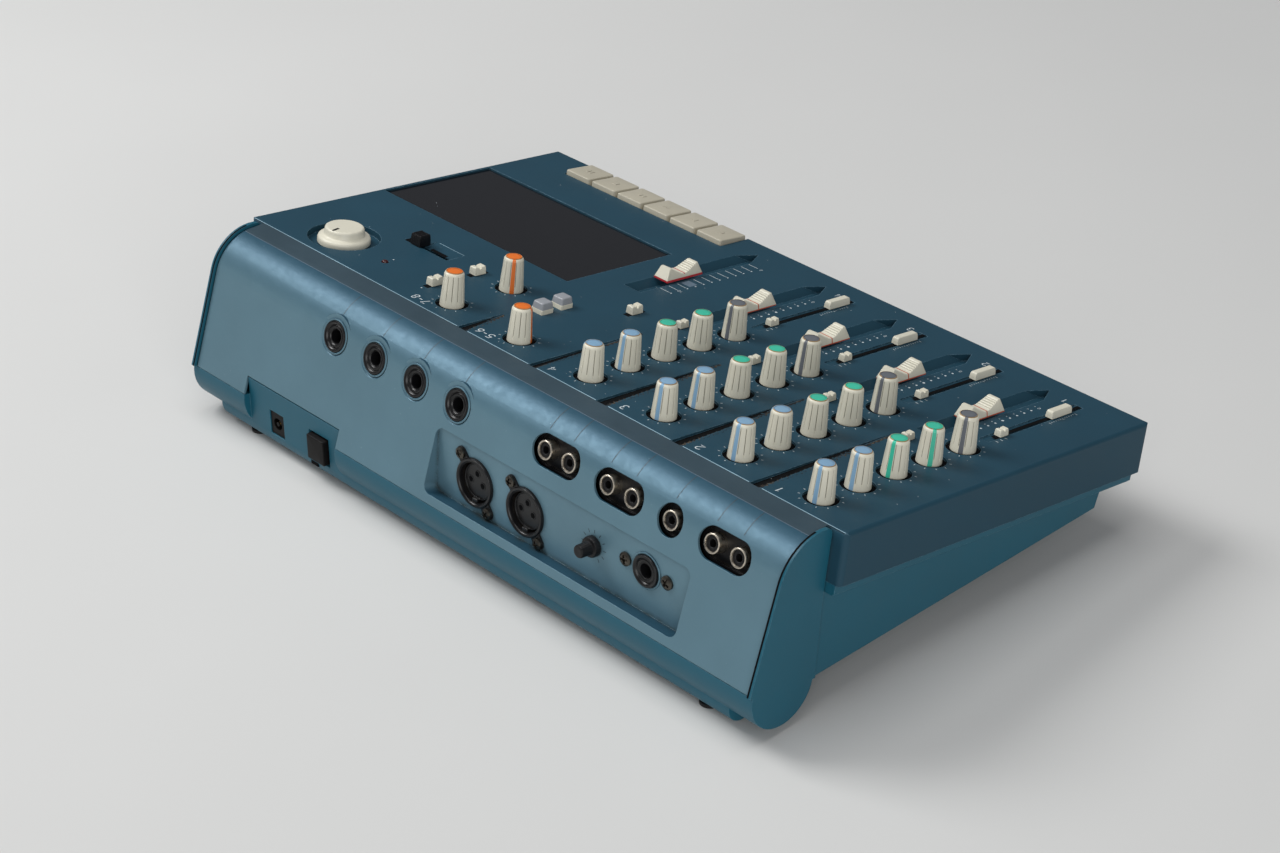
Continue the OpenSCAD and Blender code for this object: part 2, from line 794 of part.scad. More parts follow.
module hinge_bore() {
    reach = hinge_l + gap;
    translate([lid_x0 - reach, lid_axis[0], lid_axis[1]])
        rotate([0, 90, 0]) cylinder(r = hinge_r + shaft_fit, h = lid_x1 - lid_x0 + 2 * reach);
}

module key_notch() {
    x0 = key_x - 5 * key_pitch - key_w / 2 - key_gap;
    box(x0, key_x + key_w / 2 + key_gap, -cover_d - over, key_gap - key_rear,
        -key_body - key_travel - gap, over);
}

module top_cover() {
    lug = 4;
    color("darkslategray") on_panel() difference() {
        union() {
            difference() {
                cover_blank();
                cover_hollow();
            }
            for (c = channels) trough_pan(fader_x(c));
            trough_pan(master_x);
            rod(pitch_x, -pitch_y, dish_d / 2 + cover_t, -dish_h - cover_t, -cover_t);
            box(lid_x0 - lid_gap - lug, lid_x0 - lid_gap, lid_axis[0] - lug, lid_axis[0] + lug,
                -cover_t - lug, -cover_t);
        }
        for (c = channels) strip_cut(c);
        trough_cut(master_x);
        knob_seat(level_a_x, row_y(0));
        knob_seat(level_b_x, row_y(0));
        knob_seat(level_b_x, -monitor_y);
        pitch_cut();
        slide_slot(mode_x, -mode_a_y, 0, slide_travel);
        slide_slot(mode_x, -mode_b_y, 0, slide_travel);
        slide_slot(master_mode_x, -master_mode_y, 0, slide_travel);
        black_slide_cut();
        for (i = [0, 1])
            block(push_x, -push_y - i * push_pitch, push_side + 2 * gap, push_side + 2 * gap,
                -cover_t - over, over);
        rod(led_x, -led_y, led_r + gap, -cover_t - over, over);
        well_cut();
        hinge_bore();
        key_notch();
        for (s = steps) step_cut(s);
    }
}

// ---------- bottom case ----------

// outline of the tub with its open top along the underside of the rim band
module tub_outline(t) {
    top = skirt_h + rim_h;
    k = tub_lean_y / tub_lean_z;
    polygon([
        [t - tub_front, t - tub_drop], [t - tub_front - tub_lean_y, tub_lean_z - tub_drop],
        panel_pt(t - tub_front - tub_lean_y - k * t - 4, t > 0 ? 0 : -top),
        panel_pt(pod_gap, t > 0 ? 0 : -top), [lobe_c[0], -pod_drop], [lobe_c[0], t - tub_drop]
    ]);
}

// everything below the seam and the lobe's middle
module below_seam() {
    polygon([
        2 * seam - lobe_c, lobe_c, lobe_c - [2 * lobe_r, 0],
        lobe_c - [2 * lobe_r, 2 * lobe_r], lobe_c + [2 * lobe_r, -2 * lobe_r]
    ]);
}

// the room behind the metal panel, which the case leaves open
module pod_open(x0, x1) {
    front = pod_y - pod_r;
    along_x(x0, x1) polygon([
        2 * seam - lobe_c, lobe_c, [front, lobe_c[1]], [front, pod_r], [2 * pod_r + pod_y, pod_r]
    ]);
}

module lobe_outline(t) {
    intersection() {
        translate(lobe_c) circle(r = lobe_r - t);
        below_seam();
    }
}

module belly_outline(t) {
    translate(belly_c) circle(r = belly_r - t);
    translate([belly_c[0], belly_c[1]]) square([belly_r - t, -belly_c[1] - tub_drop + lobe_r / 4]);
}

// end cheek: the pod's outline a little proud of the metal panel, with a rounded front corner
module cheek_outline() {
    r = pod_r + cheek_proud;
    c = [pod_c[0] * cos(tilt) + pod_c[1] * sin(tilt), pod_c[1] * cos(tilt) - pod_c[0] * sin(tilt)];
    corner_y = pod_gap + cheek_r;
    corner_z = c[1] + sqrt((r - cheek_r) * (r - cheek_r) - (corner_y - c[0]) * (corner_y - c[0]));
    difference() {
        union() {
            translate(pod_c) circle(r = r);
            translate(seam) rotate(lean) translate([-2 * pod_r, 0])
                square([2 * pod_r + cheek_proud, face_len]);
        }
        polygon([
            panel_pt(pod_gap, pod_r), panel_pt(pod_gap, -skirt_h), [crease_y, -tub_drop],
            [-3 * pod_r, -tub_drop], [-3 * pod_r, pod_r]
        ]);
        translate([-3 * pod_r, -2 * tub_drop]) square([3 * pod_r + lobe_c[0], tub_drop]);
        rotate(tilt) difference() {
            translate([corner_y - pod_r, corner_z]) square(pod_r);
            translate([corner_y, corner_z]) circle(r = cheek_r);
        }
    }
    lobe_outline(0);
}

module case_shell() {
    inner_x = tub_half_w - case_t;
    difference() {
        union() {
            along_x(-tub_half_w, tub_half_w) {
                tub_outline(0);
                lobe_outline(0);
            }
            along_x(-belly_half_w, belly_half_w) belly_outline(0);
            for (s = [-1, 1]) along_x(s > 0 ? cheek_in : -cheek_half_w, s > 0 ? cheek_half_w : -cheek_in)
                cheek_outline();
        }
        along_x(-inner_x, inner_x) {
            tub_outline(case_t);
            lobe_outline(case_t);
        }
        along_x(case_t - belly_half_w, belly_half_w - case_t) belly_outline(case_t);
        pod_open(-cheek_in, cheek_in);
    }
}

// band under the skirt, with a fine groove at its lower edge
module rim_band() {
    groove = 0.6;
    rotate([tilt, 0, 0]) difference() {
        union() {
            box(-rim_half_w, rim_half_w, -rim_front, 0, -skirt_h - rim_h, -skirt_h);
            for (s = [-1, 1]) translate([s * (tub_half_w - case_t / 2), 0, 0])
                box(-case_t / 2, case_t / 2, -rim_wall, pod_gap + over, -skirt_h - rim_h, -skirt_h);
        }
        box(rim_wall - rim_half_w, rim_half_w - rim_wall, 3 * rim_wall / 2 - rim_front, over,
            -skirt_h - rim_h - over, over - skirt_h);
    }
    rotate([tilt, 0, 0]) difference() {
        box(-rim_half_w + groove, rim_half_w - groove, groove - rim_front, 0,
            -skirt_h - rim_h - groove, -skirt_h - rim_h);
        box(rim_wall - rim_half_w, rim_half_w - rim_wall, 3 * rim_wall / 2 - rim_front, over,
            -skirt_h - rim_h - over, over - skirt_h);
    }
}

module inlet_block() {
    depth = 9;
    for (x = [inlet_x0 - case_t, inlet_x1]) along_x(x, x + case_t) lobe_outline(0);
    difference() {
        box(inlet_x0, inlet_x1, belly_y - depth, belly_y, belly_c[1] + belly_r / 3, -inlet_drop);
        box(inlet_x0 + case_t, inlet_x1 - case_t, belly_y - depth - over, belly_y - case_t,
            -belly_drop, -inlet_drop - case_t);
    }
}

module inlet_cuts() {
    pw = power_w / 2 + power_gap;
    ph = power_h / 2 + power_gap;
    dw = dc_w / 2 + gap;
    dh = dc_h / 2 + gap;
    box(power_x - pw, power_x + pw, belly_y - 3 * case_t, belly_y + lobe_r,
        -inlet_mid_drop - ph, ph - inlet_mid_drop);
    box(dc_x - dw, dc_x + dw, belly_y - 3 * case_t, belly_y + lobe_r,
        -dc_drop - dh, dh - dc_drop);
}

// posts that carry the board and the deck, square to the panel and standing on the tub's floor
post_inset = 6;
post_rear = 30;
post_front = 150;
board_posts = [
    [post_inset - board_half_w, -post_rear], [board_half_w - post_inset, 8 - board_split_y],
    [post_inset - board_half_w, -post_front], [board_split_x - post_r, -post_front],
    [channel_x(4) + fader_offset + 2 * shaft_reach / 3, -post_rear]
];
deck_posts = [
    for (x = [deck_x0 + post_r, deck_x1 - post_r - 0.5], y = [deck_rear + post_r, deck_front - 8]) [x, -y]
];

module posts() {
    inner_x = tub_half_w - case_t;
    intersection() {
        rotate([tilt, 0, 0]) {
            for (p = board_posts) rod(p[0], p[1], post_r, -tub_drop, -board_top - board_t);
            for (p = deck_posts) rod(p[0], p[1], post_r, -tub_drop, -deck_floor - deck_t);
        }
        along_x(-inner_x, inner_x) translate([-cover_d, -tub_drop + 1]) square([cover_d, tub_drop]);
    }
}

module bottom_case() {
    color("teal") on_deck() {
        difference() {
            union() {
                case_shell();
                rim_band();
                inlet_block();
            }
            // room behind the inlet panel's face, and the lobe cut back to it
            box(inlet_x0, inlet_x1, belly_y, belly_y + lobe_r, -tub_drop - belly_r, -inlet_drop + over);
            box(inlet_x0 + case_t, inlet_x1 - case_t, belly_y - lobe_r, belly_y - case_t,
                belly_c[1], -inlet_drop - case_t);
            inlet_cuts();
        }
        posts();
    }
}

// ---------- rear panel ----------

module bent_outline(t) {
    translate(pod_c) difference() {
        circle(r = pod_r - t);
        rotate(lean) translate([-2 * pod_r, -2 * pod_r]) square([4 * pod_r, 2 * pod_r]);
        rotate(90 + lean) translate([-2 * pod_r, 0]) square([4 * pod_r, 2 * pod_r]);
    }
}

module panel_section() {
    // rounded top
    difference() {
        bent_outline(0);
        translate(pod_c) circle(r = pod_r - panel_t);
    }
    // straight face
    translate(seam) rotate(lean) translate([-panel_t, gap]) square([panel_t, face_len - gap]);
    // front flange along the cover's rear face
    rotate(tilt) translate([pod_gap, -flange_h]) square([panel_t, flange_h - pod_gap]);
}

module recess_wedge(t) {
    a = recess_t0 - t;
    b = recess_t1 + t;
    intersection() {
        along_x(-recess_x1 - t, -recess_x0 + t) polygon([
            [a, over], [a, -recess_low_h - t], [b, -recess_top_h - t], [b, over]
        ]);
        translate([0, 0, -2 * recess_low_h]) linear_extrude(3 * recess_low_h)
            soft_rect(-recess_x1 - t, -recess_x0 + t, a, b, recess_r);
    }
}

function upper_jack_x(i) = jack_x - i * jack_pitch;
pin_pairs = [-51.45, -88.2, -146.9];
pin_single = -117.2;
screw_r = 1.3;
dish_floor = 1.4;
collar_h = 1;

module well_outline(r) {
    for (x = pin_pairs) {
        for (s = [-0.5, 0.5]) translate([-x + s * pin_pitch, pin_t]) circle(r = r);
        translate([-x - pin_pitch / 2, pin_t - r]) square([pin_pitch, 2 * r]);
    }
    translate([-pin_single, pin_t]) circle(r = r);
}

module ear_places() {
    for (i = [0, 1], s = [-1, 1])
        translate([-mic_x + i * mic_pitch - s * ear_x, -mic_v + s * ear_v, 0]) children();
}

module guitar_screw_places() {
    for (s = [-1, 1]) translate([-guitar_x + s * guitar_screw_x, -guitar_v, 0]) children();
}

module rear_panel() {
    color("steelblue") {
        difference() {
            union() {
                on_deck() along_x(-panel_half_w, panel_half_w) panel_section();
                on_face() intersection() {
                    recess_wedge(panel_t);
                    box(-panel_half_w, panel_half_w, 0, face_len, -recess_low_h - 2 * panel_t, 0);
                }
                on_face() for (i = [0:3])
                    rod(-upper_jack_x(i), jack_t, jack_dish_d / 2 + panel_t, -dish_floor - panel_t,
                        -panel_t / 2);
            }
            on_face() {
                recess_wedge(0);
                for (i = [0:3]) {
                    translate([-upper_jack_x(i), jack_t, -dish_floor])
                        cylinder(r1 = collar_d / 2, r2 = jack_dish_d - collar_d / 2, h = 2 * dish_floor);
                    rod(-upper_jack_x(i), jack_t, jack_face_d / 2 + gap, -2 * dish_floor - panel_t, 0);
                }
                translate([0, 0, -pod_r / 3]) linear_extrude(pod_r) well_outline(well_d / 2);
                inlet_t = (panel_t * sin(lean) - seam[1] - inlet_drop) / cos(lean) + gap;
                box(-inlet_x1 - gap, gap - inlet_x0, -over, inlet_t,
                    -2 * panel_t, over);
            }
            on_recess() {
                for (i = [0, 1])
                    rod(-mic_x + i * mic_pitch, -mic_v, mic_body_r + gap, -3 * panel_t, over);
                rod(-mic_trim_x, -mic_trim_v, shaft_r + gap, -3 * panel_t, over);
                rod(-guitar_x, -guitar_v, jack_face_d / 2 + gap, -3 * panel_t, over);
                ear_places() rod(0, 0, screw_r + gap / 2, -3 * panel_t, over);
                guitar_screw_places() rod(0, 0, screw_r + gap / 2, -3 * panel_t, over);
            }
        }
        // collars round the phone jacks
        on_face() for (i = [0:3]) translate([-upper_jack_x(i), jack_t, -dish_floor]) collar();
        on_recess() translate([-guitar_x, -guitar_v, 0]) collar();
    }
}

module collar() {
    difference() {
        rod(0, 0, collar_d / 2, -panel_t / 2, collar_h);
        rod(0, 0, jack_face_d / 2 + gap, -panel_t, collar_h + over);
    }
}

// ---------- rear connectors ----------

mic_body_r = 9.9;
mic_insert_r = 8.2;
ear_r = 2.8;
mic_body_l = 20;

module phone_jack(rise) {
    jack_wall = 1.6;
    difference() {
        union() {
            rod(0, 0, jack_face_d / 2, -jack_bore_l - jack_wall, rise);
            block(0, 0, jack_face_d + 2, jack_face_d + 2, -jack_bore_l - jack_wall,
                -dish_floor - panel_t - 1);
        }
        rod(0, 0, jack_bore_r, rise - jack_bore_l, rise + over);
    }
}

module phone_jacks() {
    color("black") {
        on_face() for (i = [0:3])
            translate([-upper_jack_x(i), jack_t, -dish_floor]) phone_jack(collar_h / 2);
        on_recess() translate([-guitar_x, -guitar_v, 0]) phone_jack(collar_h / 2);
    }
}

module pin_shell(x) {
    hole_r = 1.7;
    ring_t = 1;
    stand = 3.8;
    translate([-x, pin_t, -well_h]) difference() {
        rod(0, 0, pin_d / 2, -1, stand);
        rod(0, 0, hole_r, -1 + ring_t, stand + over);
        difference() {
            rod(0, 0, pin_d / 2 - ring_t, stand - 1, stand + over);
            rod(0, 0, hole_r + ring_t / 2, stand - 2, stand + 2 * over);
        }
    }
}

module rca_jacks() {
    back = 9;
    color("dimgray") on_face() {
        difference() {
            translate([0, 0, -well_h - back]) linear_extrude(back + well_h - panel_t * 3)
                well_outline(well_d / 2 + 1);
            translate([0, 0, -well_h]) linear_extrude(pod_r) well_outline(well_d / 2 - gap);
        }
        for (x = pin_pairs, s = [-0.5, 0.5]) pin_shell(x + s * pin_pitch);
        pin_shell(pin_single);
    }
}

module xlr_socket() {
    flange_t = 0.9;
    pin_hole_r = 1.3;
    hole_ring = 3.6;
    sunk = 1.5;
    difference() {
        union() {
            rod(0, 0, mic_flange_d / 2, 0, flange_t);
            rod(0, 0, mic_body_r, -mic_body_l, 0);
            for (s = [-1, 1]) {
                translate([-s * ear_x, s * ear_v, 0]) cylinder(r = ear_r, h = flange_t);
                rotate([0, 0, atan2(ear_v, -ear_x) + (1 - s) * 90])
                    box(0, norm([ear_x, ear_v]), -ear_r, ear_r, 0, flange_t);
            }
        }
        rod(0, 0, mic_body_r - 0.8, -sunk * 4, flange_t + over);
        for (s = [-1, 1]) rod(-s * ear_x, s * ear_v, screw_r + gap / 2, -over, flange_t + over);
    }
    difference() {
        rod(0, 0, mic_insert_r, -sunk * 4, -sunk);
        for (a = [90, 210, 330])
            rod(hole_ring * cos(a), hole_ring * sin(a), pin_hole_r, -sunk * 3, 0);
    }
}

module xlr_sockets() {
    color("black") on_recess() for (i = [0, 1])
        translate([-mic_x + i * mic_pitch, -mic_v, 0]) xlr_socket();
}

module dc_inlet() {
    pin_r = 1;
    barrel_r = 2.9;
    length = 14;
    color("black") on_deck() translate([dc_x, belly_y - 0.5, -dc_drop]) rotate([90, 0, 0]) {
        difference() {
            translate([-dc_w / 2, -dc_h / 2, 0]) cube([dc_w, dc_h, length]);
            translate([0, 0, -over]) cylinder(r = barrel_r, h = length - over);
        }
        cylinder(r = pin_r, h = length - over);
    }
}

module pan_screw(r, seat) {
    head_h = 1.3;
    rod(0, 0, r, seat, seat + head_h);
    rod(0, 0, screw_r, seat - 5, seat + head_h / 2);
}

module screws() {
    flange_t = 0.9;
    color("gray") on_recess() {
        ear_places() pan_screw(2.5, flange_t);
        guitar_screw_places() pan_screw(3, 0);
    }
}

module feet() {
    color("black") on_deck() for (s = [-1, 1]) {
        rod(s * foot_x, belly_c[0], foot_r - 2.5, -belly_drop - pad_h, -belly_drop);
        rod(s * foot_x, -front_foot_y, foot_r, -belly_drop - pad_h, -tub_drop);
    }
}

// ---------- inside ----------

module pot(x, y) {
    difference() {
        rod(x, y, pot_r, -board_top, pot_h - board_top);
        rod(x, y, shaft_r + shaft_fit, -shaft_reach - gap, over);
    }
}

// body with a channel for a stem of the given width and length, which travels from rear to front
module slide_body(x, y, front, rear, w, l) {
    wall = 2.4;
    difference() {
        box(x - w / 2 - wall, x + w / 2 + wall, y - front - l / 2 - wall, y + rear + l / 2 + wall,
            -board_top, body_h - board_top);
        box(x - w / 2 - gap, x + w / 2 + gap, y - front - l / 2 - gap, y + rear + l / 2 + gap,
            -stem_reach - gap, over);
    }
}

module board_parts() {
    travel_mid = -(fader_rear + fader_front) / 2;
    half = (fader_front - fader_rear) / 2;
    for (c = channels) {
        for (i = [0:4]) pot(channel_x(c), row_y(i));
        slide_body(channel_x(c), -input_y, slide_travel, 0, stem_t, stem_side);
        slide_body(channel_x(c), -trim_rest[c - 1], trim_travel, trim_travel, stem_t, stem_side);
        slide_body(fader_x(c), -effect_y, slide_travel, 0, stem_t, stem_side);
        slide_body(fader_x(c) - stem_offset, travel_mid, half, half, stem_t, stem_l);
    }
    slide_body(master_x - stem_offset, travel_mid, half, half, stem_t, stem_l);
    pot(level_a_x, row_y(0));
    pot(level_b_x, row_y(0));
    pot(level_b_x, -monitor_y);
    pot(pitch_x, -pitch_y);
    slide_body(mode_x, -mode_a_y, 0, slide_travel, stem_t, stem_side);
    slide_body(mode_x, -mode_b_y, 0, slide_travel, stem_t, stem_side);
    slide_body(master_mode_x, -master_mode_y, 0, slide_travel, stem_t, stem_side);
    slide_body(black_mid, -black_y, 0, 0, 2 * black_half + stem_side, stem_t);
    for (i = [0, 1]) slide_body(push_x, -push_y - i * push_pitch, 0, 0, stem_side, stem_side);
    rod(led_x, -led_y, led_r, -board_top, -gap);
}

black_mid = (black_slot_x0 + black_slot_x1) / 2;
black_half = (black_slot_x1 - black_slot_x0) / 2 - stem_side / 2 - gap;

module main_board() {
    color("green") on_panel() {
        box(-board_half_w, board_half_w, -board_split_y, -board_rear, -board_top - board_t, -board_top);
        box(-board_half_w, board_split_x, 9 - cover_d, -board_split_y, -board_top - board_t, -board_top);
        board_parts();
    }
}

hub_axle_r = 1.5;
capstan_step = 24;
capstan_x = cassette_x + capstan_step;
capstan_y = -136;
motor_x = deck_x0 + 27;
motor_y = -106;
head_y = -147;
head_travel = 4;
head_plate_half = 18;
head_half = 6;
stud_half = 14;
stud_r = 1.2;

module tape_deck_chassis() {
    floor_z = -deck_floor - deck_t;
    rail_x0 = key_x - 5 * key_pitch - key_w / 2;
    rail_x1 = key_x + key_w / 2;
    color("silver") on_panel() {
        difference() {
            union() {
                box(deck_x0, deck_x1, -deck_front, -deck_rear, floor_z, -deck_floor);
                box(rail_x0, rail_x1, -rail_front, -deck_front, floor_z, -deck_floor);
                box(rail_x0, rail_x1, -rail_front, -rail_rear, -deck_floor, rail_h - deck_floor);
                for (x = [deck_x0, deck_x1 - deck_wall])
                    box(x, x + deck_wall, -deck_front, -deck_rear, -deck_floor, -5.5);
                box(deck_x0, deck_x1, -deck_rear - deck_wall, -deck_rear, -deck_floor, -5.5);
                for (s = [-1, 1])
                    rod(cassette_x + s * stud_half, head_y, stud_r, -deck_floor, 2 * stud_r - deck_floor);
            }
            for (s = [-0.5, 0.5])
                rod(cassette_x + s * hub_pitch, -hub_y, hub_axle_r + shaft_fit, floor_z - over, 0);
            rod(capstan_x, capstan_y, capstan_r + shaft_fit, floor_z - over, 0);
            for (i = [0:5])
                block(key_x - i * key_pitch, -(key_rear + key_front) / 2, stem_side + 2 * gap,
                    stem_side + 2 * gap, floor_z - over, 0);
        }
        rod(motor_x, motor_y, motor_r, floor_z - motor_h, floor_z);
    }
}

module drive_hub(s) {
    hub_foot = gap - deck_floor;
    hub_top = -9;
    color("white") on_panel() translate([cassette_x + s * hub_pitch / 2, -hub_y, 0]) {
        rod(0, 0, hub_axle_r, -deck_floor - deck_t, hub_top + 1);
        rod(0, 0, hub_r, hub_foot, hub_top);
        for (a = [0, 120, 240]) rotate([0, 0, a]) box(0, hub_r + 0.8, -0.6, 0.6, hub_foot + 2, hub_top);
    }
}

module flywheel() {
    disc_top = -deck_floor - deck_t - gap;
    disc_h = 5;
    color("goldenrod") on_panel() {
        rod(capstan_x, capstan_y, flywheel_r, disc_top - disc_h, disc_top);
        rod(capstan_x, capstan_y, capstan_r, disc_top - 1, -6);
    }
}

module head_plate() {
    foot = gap - deck_floor;
    plate_t = 1.2;
    color("silver") on_panel() difference() {
        union() {
            box(cassette_x - head_plate_half, cassette_x + head_plate_half, head_y - 2 * head_travel,
                head_y + stem_side, foot, foot + plate_t);
            box(cassette_x - head_half, cassette_x + head_half, head_y - head_travel, head_y + stem_side,
                foot, foot + head_half + over);
        }
        for (s = [-1, 1]) translate([cassette_x + s * stud_half, head_y, foot - over]) {
            rod(0, 0, stud_r + gap, 0, plate_t + 2 * over);
            rod(0, -head_travel, stud_r + gap, 0, plate_t + 2 * over);
            box(-stud_r - gap, stud_r + gap, -head_travel, 0, 0, plate_t + 2 * over);
        }
    }
}

module display_module() {
    width = 17;
    color("darkgreen") on_panel() box(deck_x0 + deck_wall + gap, deck_x0 + deck_wall + gap + width,
        gap - deck_front, -deck_rear - deck_wall - gap, -deck_floor, -5.5);
}

// ---------- assembly ----------

for (c = channels) for (i = [0:4])
    channel_knob(c, i);
orange_knob(level_a_x, row_y(0));  // level_5_6_knob
orange_knob(level_b_x, row_y(0));  // level_7_8_knob
orange_knob(level_b_x, -monitor_y);  // monitor_knob
pitch_knob();
mic_trim_knob();
for (c = channels) channel_fader(c);
master_fader();
trim_sliders();
input_switches();
effect_switches();
mode_switches();
slide_switch();
push_buttons();
power_button();
cassette_lid();
for (i = [0:5]) transport_key(i);
drive_hub(-1);  // supply_hub
drive_hub(1);  // takeup_hub
flywheel();
head_plate();
top_cover();
bottom_case();
rear_panel();
phone_jacks();
rca_jacks();
xlr_sockets();
dc_inlet();
screws();
feet();
main_board();
tape_deck_chassis();
display_module();
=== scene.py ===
import bpy
import bmesh
import json
import math
import numpy as np
from mathutils import Matrix, Vector


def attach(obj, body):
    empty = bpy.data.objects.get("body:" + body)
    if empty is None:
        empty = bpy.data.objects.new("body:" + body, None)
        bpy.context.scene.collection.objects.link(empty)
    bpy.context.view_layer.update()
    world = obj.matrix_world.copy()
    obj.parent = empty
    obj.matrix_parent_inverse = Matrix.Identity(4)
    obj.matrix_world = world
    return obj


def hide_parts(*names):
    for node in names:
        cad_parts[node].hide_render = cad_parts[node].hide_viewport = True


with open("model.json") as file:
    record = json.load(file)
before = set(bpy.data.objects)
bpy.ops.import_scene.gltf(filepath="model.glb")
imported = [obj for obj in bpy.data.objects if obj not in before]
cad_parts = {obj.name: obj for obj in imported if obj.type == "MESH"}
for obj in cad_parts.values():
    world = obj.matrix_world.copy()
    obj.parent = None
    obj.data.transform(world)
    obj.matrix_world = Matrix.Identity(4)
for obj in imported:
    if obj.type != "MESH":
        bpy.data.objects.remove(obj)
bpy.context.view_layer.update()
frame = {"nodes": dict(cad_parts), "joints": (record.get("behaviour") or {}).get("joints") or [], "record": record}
cadNodes = frame["nodes"]
joints = {j["name"]: j for j in frame["joints"]}
mounts = {m["name"]: m for m in frame["record"]["mounts"]}
mm = 0.001

# the camera stands behind the object and looks down on it

cameraSet = {
    "place": (-0.78305, 0.74313, 0.67168),
    "azimuth": 226.64,
    "elevation": 31.12,
    "roll": -0.543,
    "lens": 80.16,
}


def makeCamera(s):
    data = bpy.data.cameras.new("camera")
    data.sensor_width = 36
    data.lens = s["lens"]
    data.clip_start, data.clip_end = 0.05, 30
    cam = bpy.data.objects.new("camera", data)
    bpy.context.scene.collection.objects.link(cam)
    turn = (Matrix.Rotation(math.radians(s["azimuth"]), 4, "Z")
            @ Matrix.Rotation(math.radians(90 - s["elevation"]), 4, "X")
            @ Matrix.Rotation(math.radians(s["roll"]), 4, "Z"))
    cam.matrix_world = Matrix.Translation(s["place"]) @ turn
    bpy.context.scene.camera = cam


makeCamera(cameraSet)
print("camera placed")

# frames that the pieces are drawn in, in millimetres

def frameMatrix(origin, normal):
    # x stays along the object's width, z is the surface's normal
    z = Vector(normal).normalized()
    x = Vector((1, 0, 0))
    y = z.cross(x)
    m = Matrix((x, y, z)).transposed().to_4x4()
    m.translation = Vector(origin)
    return m @ Matrix.Scale(mm, 4)


firstRow = 14.5  # from the panel's rear edge to the first row of knobs
panelBend = (8.1, -20.6, 20.75)  # axis of the metal panel's bend behind and below that edge, and its radius
panelNormal = Vector(joints["pan_turn_1"]["axis"])
rowPoint = Vector(joints["eq_high_turn_1"]["pos_m"])
upSlope = panelNormal.cross(Vector((1, 0, 0)))
panelOrigin = rowPoint + upSlope * firstRow * mm
panelOrigin.x = 0
onPanel = frameMatrix(panelOrigin, panelNormal)
onDeck = Matrix.Translation(panelOrigin) @ Matrix.Scale(mm, 4)  # level, from the panel's rear edge


def rearFrame(mount, x, y, z):
    # x to the left of the user, y up the surface, z outwards; the mount lies at (x, y, z)
    out = Vector(mount["axis"]).normalized()
    left = Vector((-1, 0, 0))
    up = out.cross(left)
    m = Matrix((left, up, out)).transposed().to_4x4()
    m.translation = Vector(mount["pos_m"]) - (left * x + up * y + out * z) * mm
    return m @ Matrix.Scale(mm, 4)


onFace = rearFrame(mounts["phone_jack_1"], -90.5, 46.5, -15.9)
onRecess = rearFrame(mounts["guitar_jack"], 109.4, -11.5, -14.5)


def panelPlace(jointName):
    # a joint's place on the panel, in the panel's own millimetres
    return onPanel.inverted() @ Vector(joints[jointName]["pos_m"])


# mesh helpers: a shape is a grid of points, worked out as whole arrays

def gridFaces(rows, cols, wrap):
    # quads between neighbouring rows; the last column joins the first where it wraps
    r, c = np.meshgrid(np.arange(rows - 1), np.arange(cols if wrap else cols - 1), indexing="ij")
    n = (c + 1) % cols
    return np.stack([r * cols + c, r * cols + n, (r + 1) * cols + n, (r + 1) * cols + c], -1).reshape(-1, 4)


def turned(profile, segments=48, slot=0):
    # every point of an (r, z) profile carried round the z axis
    p = np.asarray(profile, float)
    a = np.linspace(0, 2 * np.pi, segments, endpoint=False)
    pts = np.stack([p[:, :1] * np.cos(a), p[:, :1] * np.sin(a), np.repeat(p[:, 1:], segments, 1)], -1)
    faces = gridFaces(len(p), segments, True)
    return pts.reshape(-1, 3), faces, np.full(len(faces), slot)


def moved(part, x=0.0, y=0.0, z=0.0, turn=0.0):
    # turned round the z axis by so many degrees, then carried by x, y and z
    pts, faces, slots = part
    a = math.radians(turn)
    spin = np.array([[math.cos(a), math.sin(a), 0], [-math.sin(a), math.cos(a), 0], [0, 0, 1]])
    return pts @ spin + np.array([x, y, z]), faces, slots


def joined(parts):
    # one mesh of several, each one's faces counted on from the points before it
    starts = np.cumsum([0] + [len(p[0]) for p in parts[:-1]])
    return (np.vstack([p[0] for p in parts]),
            np.vstack([p[1] + s for p, s in zip(parts, starts)]),
            np.concatenate([p[2] for p in parts]))


def arcPoints(cx, cz, r, a0, a1, n=6):
    # points at even angles on a circle round (cx, cz)
    a = np.radians(np.linspace(a0, a1, n))
    return np.stack([cx + r * np.cos(a), cz + r * np.sin(a)], -1)


def roundedRing(w, l, r, n=6):
    # outline of a rectangle with round corners, anticlockwise from the right
    a = np.radians(np.linspace(0, 90, n))
    corner = np.stack([np.cos(a), np.sin(a)], -1)
    quarter = []
    for k, (sx, sy) in enumerate([(1, 1), (-1, 1), (-1, -1), (1, -1)]):
        turn = np.radians(90 * k)
        spin = np.array([[np.cos(turn), np.sin(turn)], [-np.sin(turn), np.cos(turn)]])
        quarter.append(corner @ spin * r + np.array([sx * (w / 2 - r), sy * (l / 2 - r)]))
    return np.vstack(quarter)


def blockShape(w, l, z0, z1, corner=0.6, fillet=0.5, draft=0.0, slot=0, crown=0.0):
    # rounded-rectangle rings stacked from the foot, drawn in by the draft and the top fillet
    rings = [(0, 0), (0, 0)]
    levels = [z0, z0]
    insets = [max(w, l) / 2, 0.0]
    a = np.radians(np.linspace(0, 90, 5))
    levels += list(z1 - fillet + fillet * np.sin(a))
    insets += list(draft + fillet * (1 - np.cos(a)))
    levels += [z1 + crown]
    insets += [max(w, l) / 2]
    out = []
    for z, i in zip(levels, insets):
        iw, il = min(i, w / 2), min(i, l / 2)
        ring = roundedRing(w, l, corner) * [(w / 2 - iw) / (w / 2), (l / 2 - il) / (l / 2)]
        out.append(np.column_stack([ring, np.full(len(ring), z)]))
    pts = np.vstack(out)
    faces = gridFaces(len(out), len(out[0]), True)
    return pts, faces, np.full(len(faces), slot)


